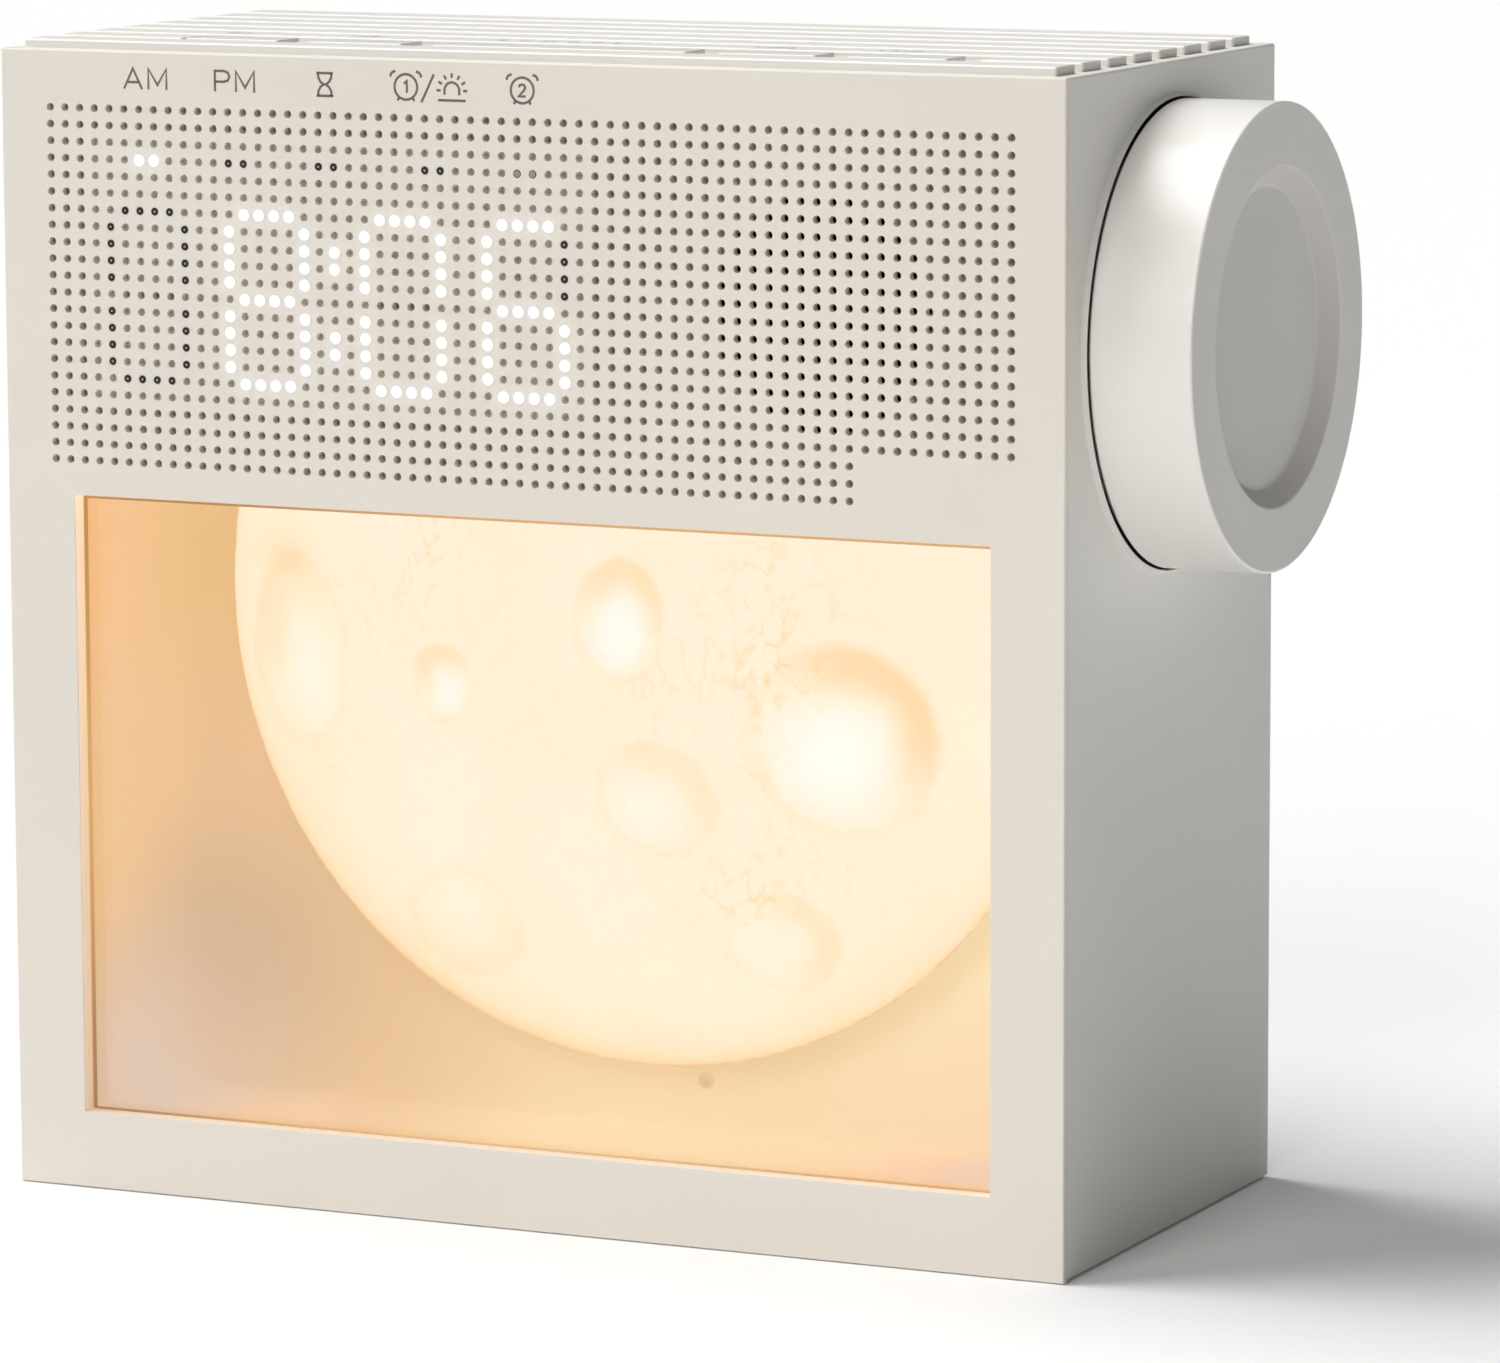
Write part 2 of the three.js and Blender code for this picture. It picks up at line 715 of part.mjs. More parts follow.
const bushingEndX = sideX + bushingReach;
const hubX = bushingEndX + knobPush + fit;
add('knob_hub', spinKnob([
  [shaftRadius + fit, hubX],
  [hubRadius, hubX],
  [hubRadius, ceilingX],
  [shaftRadius + fit, ceilingX],
]), 'white');

const encoderBackX = innerX - encoderLength;
const rotorX = encoderBackX + knobPush + fit;
add('encoder_shaft', rodKnob(shaftRadius, rotorX, ceilingX), 'steel');

const slideFit = shaftRadius + fit;
add('encoder_rotor', spinKnob([
  [slideFit, rotorX],
  [rotorRadius, rotorX],
  [rotorRadius, rotorX + rotorThickness],
  [slideFit, rotorX + rotorThickness],
]), 'white');

const halfEncoder = encoderSide / 2;
let encoderBody = block(
  encoderBackX,
  innerX,
  -halfEncoder,
  halfEncoder,
  knobZ - halfEncoder,
  knobZ + halfEncoder,
);
encoderBody = encoderBody.add(rodKnob(bushingRadius, innerX - overlap, bushingEndX));
encoderBody = encoderBody.subtract(spinKnob([
  [0, encoderBackX - overcut],
  [rotorRadius + fit, encoderBackX - overcut],
  [rotorRadius + fit, innerX - encoderEnd],
  [slideFit, innerX - encoderEnd],
  [slideFit, bushingEndX + overcut],
  [0, bushingEndX + overcut],
]));
add('encoder_body', encoderBody, 'steel');

const washerX = sideX + washerThickness;
const clearBushing = bushingRadius + fit;
add('encoder_washer', spinKnob([
  [clearBushing, sideX],
  [washerRadius, sideX],
  [washerRadius, washerX],
  [clearBushing, washerX],
]), 'steel');

const nutRadius = nutAcross / Math.sqrt(3);
const nutEndX = washerX + nutThickness;
const hexSides = 6;
const nut = rodKnob(nutRadius, washerX, nutEndX, hexSides);
add('encoder_nut', nut.subtract(rodKnob(clearBushing, washerX - overcut, nutEndX + overcut)), 'steel');

const halfBoard = encoderBoardSide / 2;
add('encoder_board', block(
  encoderBackX - boardThickness,
  encoderBackX,
  -halfBoard,
  halfBoard,
  knobZ - halfBoard,
  knobZ + halfBoard,
), 'board');

// Top keys, their switches and board

keys.forEach((key, index) => {
  const number = index + 1;
  const middle = (key.x0 + key.x1) / 2;
  const lip = ribWidth / 2 + keyFlangeLip;
  const flange = block(
    key.x0 - keyFlangeLip,
    key.x1 + keyFlangeLip,
    keyY - lip,
    keyY + lip,
    flangeUnderZ,
    flangeTopZ,
  );
  add(`top_key_${number}`, ribBar(key.x0, key.x1, keyY, flangeTopZ - overlap, crownZ).add(flange), 'keys');
  const half = switchSide / 2;
  const bore = rodZ(plungerRadius + fit, keyBoardTopZ + switchFloor, switchTopZ + overcut, middle, keyY);
  const body = block(middle - half, middle + half, keyY - half, keyY + half, keyBoardTopZ, switchTopZ);
  add(`key_switch_${number}`, body.subtract(bore), 'black');
  const plunger = rodZ(plungerRadius, flangeUnderZ - plungerLength, flangeUnderZ, middle, keyY);
  add(`key_plunger_${number}`, plunger, 'white');
});

let keyBoard = block(
  keyPostXs[0] - keyBoardEnd,
  keyPostXs[1] + keyBoardEnd,
  keyY - keyBoardDepth / 2,
  keyY + keyBoardDepth / 2,
  keyBoardUnderZ,
  keyBoardTopZ,
);
keyPostXs.forEach((x, index) => {
  const clear = screwRadius + fit;
  keyBoard = keyBoard.subtract(rodZ(clear, keyBoardUnderZ - overcut, keyBoardTopZ + overcut, x, keyY));
  const shank = rodZ(screwRadius, keyBoardUnderZ - overlap, flangeUnderZ, x, keyY);
  const head = rodZ(screwHeadRadius, keyBoardUnderZ - screwHead, keyBoardUnderZ, x, keyY);
  add(`key_board_screw_${index + 1}`, head.add(shank), 'steel');
});
add('key_board', keyBoard, 'board');

// Main board and what it carries

const mainBottomZ = bottomZ + mainBoardBottom;
const mainMiddleZ = mainBottomZ + mainBoardHeight / 2;
const mainHalf = mainBoardWidth / 2;
let mainBoard = block(
  -mainHalf,
  mainHalf,
  mainBoardFrontY,
  mainBoardBackY,
  mainBottomZ,
  mainBottomZ + mainBoardHeight,
);
standoffs.forEach(([x, z], index) => {
  const drill = [mainBoardFrontY - overcut, mainBoardBackY + overcut];
  mainBoard = mainBoard.subtract(rodY(screwRadius + fit, ...drill, x, z));
  add(`main_board_screw_${index + 1}`, screw(mainBoardBackY, x, z), 'steel');
});
add('main_board', mainBoard, 'board');

// Pan-head screw whose head sits on the plane y and whose shank runs forward.
function screw(y, x, z) {
  const shank = rodY(screwRadius, y - screwLength, y + overlap, x, z);
  return shank.add(rodY(screwHeadRadius, y, y + screwHead, x, z));
}

const chipHalf = chipSide / 2;
add('control_chip', block(
  chipX - chipHalf,
  chipX + chipHalf,
  mainBoardBackY,
  mainBoardBackY + chipHeight,
  mainMiddleZ - chipHalf,
  mainMiddleZ + chipHalf,
), 'black');

const cellFrontY = mainBoardBackY + holderWall;
add('cell_holder', spinY([
  [0, mainBoardBackY],
  [cellRadius + fit + holderWall, mainBoardBackY],
  [cellRadius + fit + holderWall, cellFrontY + cellThickness],
  [cellRadius + fit, cellFrontY + cellThickness],
  [cellRadius + fit, cellFrontY],
  [0, cellFrontY],
], holderX, mainMiddleZ), 'black');
const cellSpan = [cellFrontY, cellFrontY + cellThickness];
add('backup_cell', rodY(cellRadius, ...cellSpan, holderX, mainMiddleZ, facets.middle), 'steel');

// Rounded slot shape of the USB-C mouth, grown by a clearance.
function usbShape(by) {
  const radius = usbHeight / 2 + by;
  const straight = (usbWidth - usbHeight) / 2;
  const shape = new THREE.Shape();
  shape.moveTo(usbX - straight, mainMiddleZ - radius);
  shape.lineTo(usbX + straight, mainMiddleZ - radius);
  shape.absarc(usbX + straight, mainMiddleZ, radius, -Math.PI / 2, Math.PI / 2, false);
  shape.lineTo(usbX - straight, mainMiddleZ + radius);
  shape.absarc(usbX - straight, mainMiddleZ, radius, Math.PI / 2, 1.5 * Math.PI, false);
  shape.closePath();
  return shape;
}

const usbMouthY = coverBackY - usbInset;
let usbSocket = upright(usbShape(0), mainBoardBackY, usbMouthY);
usbSocket = usbSocket.subtract(upright(usbShape(-usbShell), mainBoardBackY + usbBase, usbMouthY + overcut));
usbSocket = usbSocket.add(block(
  usbX - usbTongueWidth / 2,
  usbX + usbTongueWidth / 2,
  mainBoardBackY + usbBase - overlap,
  usbMouthY - usbTongueInset,
  mainMiddleZ - usbTongue / 2,
  mainMiddleZ + usbTongue / 2,
));
add('usb_socket', usbSocket, 'steel');

// Rear cover and its screws

const coverX = innerX - fit;
let rearCover = block(-coverX, coverX, coverFrontY, coverBackY, floorZ + fit, deckUnderZ - fit);
rearCover = rearCover.subtract(upright(usbShape(fit), coverFrontY - overcut, coverBackY + overcut));
for (let i = 0; i < ventCount; i += 1) {
  const z = bottomZ + ventHeight + (i - (ventCount - 1) / 2) * ventPitch;
  const vent = rectangle(-ventLength / 2, ventLength / 2, z - ventWidth / 2, z + ventWidth / 2);
  rearCover = rearCover.subtract(upright(vent, coverFrontY - overcut, coverBackY + overcut));
}
const headSeatY = coverBackY - screwHead;
postCentres().forEach(([x, z], index) => {
  const drill = [coverFrontY - overcut, coverBackY + overcut];
  rearCover = rearCover.subtract(rodY(screwRadius + fit, ...drill, x, z));
  rearCover = rearCover.subtract(rodY(screwHeadRadius + fit, headSeatY, coverBackY + overcut, x, z));
  add(`rear_screw_${index + 1}`, screw(headSeatY, x, z), 'steel');
});
add('rear_cover', rearCover, 'shell');

export default clock;
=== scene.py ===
import math

import bmesh
import bpy
import numpy as np
from mathutils import Matrix, Vector


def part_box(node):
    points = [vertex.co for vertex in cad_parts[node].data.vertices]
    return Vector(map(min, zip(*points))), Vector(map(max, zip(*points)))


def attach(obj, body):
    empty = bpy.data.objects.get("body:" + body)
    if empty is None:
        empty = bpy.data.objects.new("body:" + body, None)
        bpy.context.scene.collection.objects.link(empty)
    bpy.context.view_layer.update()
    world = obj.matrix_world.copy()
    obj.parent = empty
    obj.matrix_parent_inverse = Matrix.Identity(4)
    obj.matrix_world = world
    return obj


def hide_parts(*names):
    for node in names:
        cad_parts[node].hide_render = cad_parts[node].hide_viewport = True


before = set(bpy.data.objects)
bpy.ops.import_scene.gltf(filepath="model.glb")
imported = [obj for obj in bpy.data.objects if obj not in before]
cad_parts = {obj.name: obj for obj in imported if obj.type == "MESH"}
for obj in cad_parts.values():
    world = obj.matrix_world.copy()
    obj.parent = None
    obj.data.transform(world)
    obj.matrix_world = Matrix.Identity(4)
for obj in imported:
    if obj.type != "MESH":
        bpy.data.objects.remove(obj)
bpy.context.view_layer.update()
mm = 0.001
print("frame loaded:", len(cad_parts), "nodes")


def span(node):  # a node's lowest and highest corner in mm
    low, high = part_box(node)
    return np.array(low) / mm, np.array(high) / mm


fasciaLow, fasciaHigh = span("fascia")
housingHigh = span("housing")[1]
paneLow, paneHigh = span("window_pane")
moonLow, moonHigh = span("moon_dome")
boxLow, boxHigh = span("light_box")
knobLow, knobHigh = span("knob_shell")
gasketLow, gasketHigh = span("speaker_gasket")

sideX = fasciaHigh[0]
frontY = fasciaLow[1]
fasciaBackY = fasciaHigh[1]
rearY = housingHigh[1]
bottomZ = fasciaLow[2]
topZ = fasciaHigh[2]
crownZ = housingHigh[2]
knobZ = (knobLow[2] + knobHigh[2]) / 2
knobRadius = (knobHigh[2] - knobLow[2]) / 2
moonRadius = moonHigh[0]
moonZ = moonLow[2] + moonRadius
moonBackY = moonHigh[1]
speakerX = (gasketLow[0] + gasketHigh[0]) / 2
speakerZ = (gasketLow[2] + gasketHigh[2]) / 2

window = {"halfX": 65.0, "sill": 10.0, "head": 58.05, "corner": 0.3}
windowX = window["halfX"]
windowLow = bottomZ + window["sill"]
windowHigh = topZ - window["head"]
near = 0.02  # a row this close to an edge keeps the flat beside it flat
tiny = 1e-6


# grid of quads between the points of a rows x columns array
def gridFaces(rows, columns, wrap=False):
    i, j = np.meshgrid(np.arange(rows - 1), np.arange(columns if wrap else columns - 1), indexing="ij")
    after = (j + 1) % columns
    corners = [i * columns + j, (i + 1) * columns + j, (i + 1) * columns + after, i * columns + after]
    return np.stack(corners, -1).reshape(-1, 4)


# several shapes as one set of points and faces
def joined(*shapes):
    starts = np.cumsum([0] + [len(points) for points, faces in shapes])
    return np.concatenate([points for points, faces in shapes]), np.concatenate(
        [faces + start for (points, faces), start in zip(shapes, starts)])


# quarter round from a wall up to a face as [side, level] rows that end on the face; up is the face's way
def fillet(radius, side, level, up=1, steps=5):
    turn = np.radians(np.linspace(0, 90, steps + 1))
    inset = np.r_[0, radius * (1 - np.cos(turn)), radius + near]
    rise = np.r_[-radius - near, radius * (np.sin(turn) - 1), 0]
    return np.stack([side - inset, level + up * rise], 1)


# bend between two straight runs of a profile: points on a parabola that touches both
def bend(a, corner, b, steps=5):
    t = np.linspace(0, 1, steps + 1)[:, None]
    return (1 - t) ** 2 * np.array(a) + 2 * t * (1 - t) * np.array(corner) + t ** 2 * np.array(b)


# rectangle with quarter circles at its corners, counter-clockwise from the lower right, and its normals
def roundedLoop(a0, a1, b0, b1, radius, steps=6):
    quarter = np.r_[0, np.linspace(0, 90, steps + 1), 90]
    turn = np.concatenate([np.radians(start + quarter) for start in (-90, 0, 90, 180)])
    slide = np.tile(np.r_[-near, np.zeros(steps + 1), near], 4)
    normal = np.stack([np.cos(turn), np.sin(turn)], 1)
    tangent = np.stack([-normal[:, 1], normal[:, 0]], 1)
    centreA = np.repeat([a1 - radius, a1 - radius, a0 + radius, a0 + radius], len(quarter))
    centreB = np.repeat([b0 + radius, b1 - radius, b1 - radius, b0 + radius], len(quarter))
    return np.stack([centreA, centreB], 1) + radius * normal + slide[:, None] * tangent, normal


# a profile of [offset along the normal, depth] rows carried round a loop
def carried(loop, normal, rows, depthAxis):
    rows = np.asarray(rows, float)
    across = loop[None] + normal[None] * rows[:, 0][:, None, None]
    depth = np.broadcast_to(rows[:, 1][:, None], across.shape[:2])
    a, b = across[..., 0], across[..., 1]
    points = np.stack({"x": (depth, a, b), "y": (a, depth, b), "z": (a, b, depth)}[depthAxis], -1)
    return points.reshape(-1, 3), gridFaces(len(rows), len(loop), wrap=True)


# midline of a rectangle: for each point of its loop the nearest place half the short side inside
def midline(loop, a0, a1, b0, b1):
    half = min(a1 - a0, b1 - b0) / 2
    return np.clip(loop, (a0 + half, b0 + half), (a1 - half, b1 - half))


# flat lid from one row of a carried profile in to the midline
def lid(loop, normal, ridge, row, depthAxis):
    edge, _ = carried(loop, normal, [row], depthAxis)
    middle, _ = carried(ridge, normal * 0, [row], depthAxis)
    return np.concatenate([edge, middle]), gridFaces(2, len(loop), wrap=True)


# a bar: a profile carried round a rounded rectangle, with a lid at each end
def bar(a0, a1, b0, b1, corner, rows, depthAxis):
    loop, normal = roundedLoop(a0, a1, b0, b1, corner)
    ridge = midline(loop, a0, a1, b0, b1)
    lids = [lid(loop, normal, ridge, row, depthAxis) for row in (rows[0], rows[-1])]
    return joined(carried(loop, normal, rows, depthAxis), *lids)


# a profile of [radius, along] rows carried once round an axis
def turned(profile, axis, centre, segments=160):
    profile = np.asarray(profile, float)
    turn = np.linspace(0, 2 * math.pi, segments, endpoint=False)
    along = profile[:, 1][:, None] + 0 * turn
    a, b = profile[:, :1] * np.cos(turn), profile[:, :1] * np.sin(turn)
    points = np.stack({"x": (along, a, b), "y": (a, along, b)}[axis], -1).reshape(-1, 3)
    return points + np.asarray(centre), gridFaces(len(profile), segments, wrap=True)


def addObject(name, data):  # an object in the scene
    thing = bpy.data.objects.new(name, data)
    bpy.context.scene.collection.objects.link(thing)
    return thing


# mesh object of a shape in mm on a body, with values held at its points;
# second holds further materials and, last, which one each face takes
def makePiece(name, shape, material, body="case", hides=(), slot=None, turnOut=True, second=None, **held):
    points, faces = shape
    mesh = bpy.data.meshes.new(name)
    mesh.from_pydata((points * mm).tolist(), [], faces.tolist())
    mesh.materials.append(material)
    if second:
        for extra in second[:-1]:
            mesh.materials.append(extra)
        mesh.polygons.foreach_set("material_index", second[-1].astype(np.int32))
    for title, values in held.items():
        layer = mesh.attributes.new(title, "FLOAT", "POINT")
        layer.data.foreach_set("value", values.astype(np.float32).ravel())
    work = bmesh.new()
    work.from_mesh(mesh)
    bmesh.ops.remove_doubles(work, verts=work.verts, dist=tiny)
    if turnOut:
        bmesh.ops.recalc_face_normals(work, faces=work.faces)
    work.to_mesh(mesh)
    work.free()
    mesh.polygons.foreach_set("use_smooth", np.ones(len(mesh.polygons), bool))
    mesh.set_sharp_from_angle(angle=math.radians(35))
    piece = addObject(name, mesh)
    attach(piece, body)
    if hides:
        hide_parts(*hides)


def toLinear(hexText):  # sRGB hex to linear RGBA
    values = [int(hexText[i:i + 2], 16) / 255 for i in (1, 3, 5)]
    return [v / 12.92 if v <= 0.04045 else ((v + 0.055) / 1.055) ** 2.4 for v in values] + [1.0]


def put(tree, kind, inputs=None, **settings):  # a node with its settings, values and links
    node = tree.nodes.new("ShaderNode" + kind)
    for key, value in settings.items():
        setattr(node, key, value)
    for key, value in (inputs or {}).items():
        if isinstance(value, bpy.types.NodeSocket):
            tree.links.new(value, node.inputs[key])
        else:
            node.inputs[key].default_value = value
    return node


def startMaterial(name):  # an empty material, its nodes and its Object coordinates
    material = bpy.data.materials.new(name)
    material.use_nodes = True
    material.node_tree.nodes.clear()
    return material, material.node_tree, put(material.node_tree, "TexCoord").outputs["Object"]


def endMaterial(material, inputs):  # the shader with these inputs, and the output
    shader = put(material.node_tree, "BsdfPrincipled", inputs)
    put(material.node_tree, "OutputMaterial", {"Surface": shader.outputs["BSDF"]})
    return material


def heldValue(tree, title):  # a value that the mesh holds at its points
    return put(tree, "Attribute", attribute_name=title).outputs["Fac"]


def worked(tree, operation, *values):  # one step of arithmetic on sockets and numbers
    return put(tree, "Math", dict(enumerate(values)), operation=operation).outputs["Value"]


# a value that goes from first to last while the other goes from low to high
def ranged(tree, value, low, high, first, last, way="SMOOTHSTEP"):
    return put(tree, "MapRange", {
        "Value": value, "From Min": low, "From Max": high, "To Min": first, "To Max": last},
        interpolation_type=way).outputs["Result"]


def cloud(tree, place, sizeMm, detail, **more):  # noise of this many mm; Object coordinates are metres
    return put(tree, "TexNoise", {
        "Vector": place, "Scale": 1 / (sizeMm * mm), "Detail": detail, **more}).outputs["Fac"]


def stretched(tree, place, scale):  # coordinates multiplied along each axis
    return put(tree, "Mapping", {"Vector": place, "Scale": scale}).outputs["Vector"]


def bumped(tree, height, strength, distance=0.0001):  # normal tilted by the slope of a height
    return put(tree, "Bump", {
        "Height": height, "Strength": strength, "Distance": distance}).outputs["Normal"]


def toned(tree, value, stops):  # colour ramp, its stops as position and hex
    node = put(tree, "ValToRGB", {"Fac": value})
    ramp = node.color_ramp
    while len(ramp.elements) < len(stops):
        ramp.elements.new(0.5)
    for element, (position, hexText) in zip(ramp.elements, stops):
        element.position = position
        element.color = toLinear(hexText)
    return node.outputs["Color"]


diodeLight = "#fffaf2"
tintStops = 0.35, 0.65  # levels of the drift at which the two tints are reached
glossSpread = 0.07


# a surface with a slow drift of tint, a fine grain in its bump and an uneven gloss
def grained(name, tints, roughness, grainMm, grainDepth, driftMm=45, metallic=0.0, stretch=(1, 1, 1),
            halo=0.0):
    material, tree, place = startMaterial(name)
    grain = cloud(tree, stretched(tree, place, stretch), grainMm, 2.0)
    least, most = roughness - glossSpread, roughness + glossSpread
    inputs = {
        "Base Color": toned(tree, cloud(tree, place, driftMm, 4.0), list(zip(tintStops, tints))),
        "Roughness": ranged(tree, grain, 0.0, 1.0, least, most, "LINEAR"), "Metallic": metallic,
        "Normal": bumped(tree, grain, grainDepth)}
    if halo:
        inputs["Emission Color"] = toLinear(diodeLight)
        inputs["Emission Strength"] = worked(tree, "MULTIPLY", heldValue(tree, "glow"), halo)
    return endMaterial(material, inputs)


# ABS from a spark-eroded mould: an even matt skin that only glints on its edges
shellPlastic = grained("absSparkEroded", ("#e4e2dc", "#e7e5e0"), 0.55, 0.45, 0.12)
# the same skin with the light of the diodes scattered in it
frontPlastic = grained("absBehindDiodes", ("#e4ddd3", "#e6e0d6"), 0.55, 0.45, 0.12, halo=0.09)
# film behind the holes, a flat brown grey darker than the case: painted shade in the holes
holeShadeFilm = grained("filmHoleShade", ("#9c9181", "#a79c8d"), 0.7, 0.35, 0.1, 5)
# the same ABS from a polished mould: a softer, closer sheen on keys and knob
satinPlastic = grained("absSatinMoulded", ("#efede8", "#f1efea"), 0.32, 0.6, 0.05)
# ribs painted a shade darker than the case, their rounded edges smoother and painted lighter: painted shade
# on the tops, painted highlight on the edges
ribShadedPlastic = grained("absRibShaded", ("#e3e1db", "#e6e4de"), 0.55, 0.45, 0.12)
edgeHighlightPlastic = grained("absEdgeHighlight", ("#f4f2ed", "#f6f4ef"), 0.4, 0.45, 0.04)
# the knob's face, etched matt: its rim painted lightest, the dish dead matt, its wall painted deepest and
# greyest, as painted light and shade on one moulding
rimLitPlastic = grained("absRimPaintedLight", ("#dedcd6", "#e1dfda"), 0.65, 0.4, 0.1)
wallShadedPlastic = grained("absWallPaintedShade", ("#cbc8c2", "#cecbc6"), 0.75, 0.4, 0.1)
facePlastic = grained("absEtched", ("#d6d4ce", "#d9d7d2"), 0.75, 0.4, 0.1)
# felt, cut: black, swallows the light; behind the speaker, and the same black laid in the knob's gap and the
# screws' slots as painted shade
blackFeltAndShade = grained("feltCutAndShade", ("#0b0b0b", "#131211"), 0.95, 0.5, 0.4, 4)
# silicone rubber, moulded: dark and dead matt
rubber = grained("siliconeMoulded", ("#1d1c1b", "#262423"), 0.8, 0.5, 0.2)
# pressed paper pulp: fibres show as a coarse matt grain
pulp = grained("pulpPressed", ("#121212", "#1d1b1a"), 0.9, 0.7, 0.5)
# polyamide, moulded: black or white with a dull sheen
blackNylon = grained("polyamideMoulded", ("#141414", "#1b1b1c"), 0.45, 0.4, 0.1)
whiteNylon = grained("polyamideWhite", ("#dcd8d0", "#e4e0d9"), 0.5, 0.4, 0.08)
# zinc-plated steel: bright, faintly brushed along one way
platedSteel = grained("steelZincPlated", ("#a9aaac", "#bdbec0"), 0.3, 0.25, 0.15, 12, 1.0, (0.1, 1, 1))
# glass-fibre board under green solder mask: a smooth gloss over a coarse weave
solderMask = grained("boardSolderMask", ("#16402a", "#1d5236"), 0.35, 1.2, 0.15, 6)
# pad-printed ink: thin, matt, slightly uneven
padInk = grained("inkPadPrinted", ("#6a645d", "#756f68"), 0.6, 0.3, 0.05, 3)
# smoked lens over an unlit diode, and the grey disc in its middle: a painted glint on the lens
smokedLens = grained("polycarbonateSmoked", ("#0d0c0b", "#171513"), 0.25, 0.5, 0.03, 4)
glintGrey = grained("glintPaintedGrey", ("#8d857b", "#a49c92"), 0.4, 0.3, 0.05, 2)
print("plain materials made")


# acrylic, cast sheet: clear, polished, a faint wave in its reflections
def clearAcrylic(name):
    material, tree, place = startMaterial(name)
    return endMaterial(material, {
        "Base Color": toLinear("#fffdf9"), "Roughness": 0.02, "IOR": 1.49, "Transmission Weight": 1.0,
        "Normal": bumped(tree, cloud(tree, place, 60, 1.0), 0.03, 0.0005)})


# white diode under a diffusing cap: even white in the middle, dying away into the plastic round it
def litDiode(name, strength):
    material, tree, _ = startMaterial(name)
    return endMaterial(material, {
        "Base Color": toLinear("#e5e3de"), "Roughness": 0.5, "Emission Color": toLinear(diodeLight),
        "Emission Strength": ranged(tree, heldValue(tree, "glow"), 0.0, 1.0, 0.0, strength)})


moonSkin = {"speckMm": 1.6, "speck": 0.1, "foldMm": 3.4, "tall": 0.6, "foldWidth": 0.06, "patchMm": 2.4,
            "patchFrom": 0.38, "patchTo": 0.56, "patchMost": 1.25, "darken": -0.14, "sink": -0.5}


# milky polycarbonate lit from behind: thin floors are white and thick walls tan;
# its wrinkles are the middle level of a noise, broken up by the patches of another
def moonResin(name, s):
    material, tree, place = startMaterial(name)
    speck = cloud(tree, place, s["speckMm"], 5.0, Roughness=0.6)
    fold = cloud(tree, stretched(tree, place, (1.0, 1.0, s["tall"])), s["foldMm"], 5.0, Distortion=0.4)
    ridge = worked(tree, "ABSOLUTE", worked(tree, "SUBTRACT", fold, 0.5))
    ridge = ranged(tree, ridge, 0.0, s["foldWidth"], 1.0, 0.0)
    patch = cloud(tree, place, s["patchMm"], 3.0)
    patch = ranged(tree, patch, s["patchFrom"], s["patchTo"], 0.0, s["patchMost"])
    wrinkle = worked(tree, "MULTIPLY", worked(tree, "MULTIPLY", ridge, patch), heldValue(tree, "creased"))
    shift = worked(tree, "MULTIPLY_ADD", speck, s["speck"], -s["speck"] / 2)
    level = worked(tree, "ADD", heldValue(tree, "glow"), shift)
    level = worked(tree, "MULTIPLY_ADD", wrinkle, s["darken"], level)
    tone = toned(tree, level, [(0.0, "#e9c08a"), (0.15, "#f8d3a0"), (0.3, "#fde0b8"), (0.5, "#ffecd1"),
                               (0.75, "#fff7eb"), (1.0, "#fffef6")])
    height = worked(tree, "MULTIPLY_ADD", wrinkle, s["sink"], speck)
    return endMaterial(material, {
        "Base Color": toLinear("#4a4036"), "Roughness": 0.6, "IOR": 1.58,
        "Normal": bumped(tree, height, 0.35, 0.0004), "Emission Color": tone, "Emission Strength": 0.98})


# painted tray lit by the lamp: pools of warm light that die away from a centre, under rings of shade
def lampPaint(name, ground, pools, rings=()):
    material, tree, place = startMaterial(name)
    colour = toLinear(ground)
    layers = [(centre, 0.0, reachMm, hexText, "MIX") for centre, reachMm, hexText in pools]
    layers += [(*ring, "MULTIPLY") for ring in rings]
    for centre, fromMm, toMm, hexText, blend in layers:
        gap = put(tree, "VectorMath", {0: place, 1: [c * mm for c in centre]}, operation="DISTANCE")
        weight = ranged(tree, gap.outputs["Value"], fromMm * mm, toMm * mm, 1.0, 0.0)
        mix = put(tree, "Mix", {0: weight, 6: colour, 7: toLinear(hexText)},
                  data_type="RGBA", blend_type=blend)
        colour = mix.outputs[2]
    return endMaterial(material, {
        "Base Color": toLinear("#4a4036"), "Roughness": 0.7,
        "Normal": bumped(tree, cloud(tree, place, 0.6, 2.0), 0.1),
        "Emission Color": colour, "Emission Strength": 0.92})


# the shell's own ABS round the window, with the lamp's light soaking through it from the pane
def litReveal(name, strength):
    material, tree, place = startMaterial(name)
    depth = put(tree, "SeparateXYZ", {"Vector": place}).outputs["Y"]
    soak = ranged(tree, depth, frontY * mm, paneLow[1] * mm, 0.0, 1.0, "LINEAR")
    return endMaterial(material, {
        "Base Color": toLinear("#d9cdbf"), "Roughness": 0.55,
        "Normal": bumped(tree, cloud(tree, place, 0.45, 2.0), 0.12),
        "Emission Color": toned(tree, soak, [(0.0, "#ffe6cf"), (0.35, "#ffd3a8"), (1.0, "#ffca92")]),
        "Emission Strength": worked(tree, "MULTIPLY", heldValue(tree, "glow"), strength)})


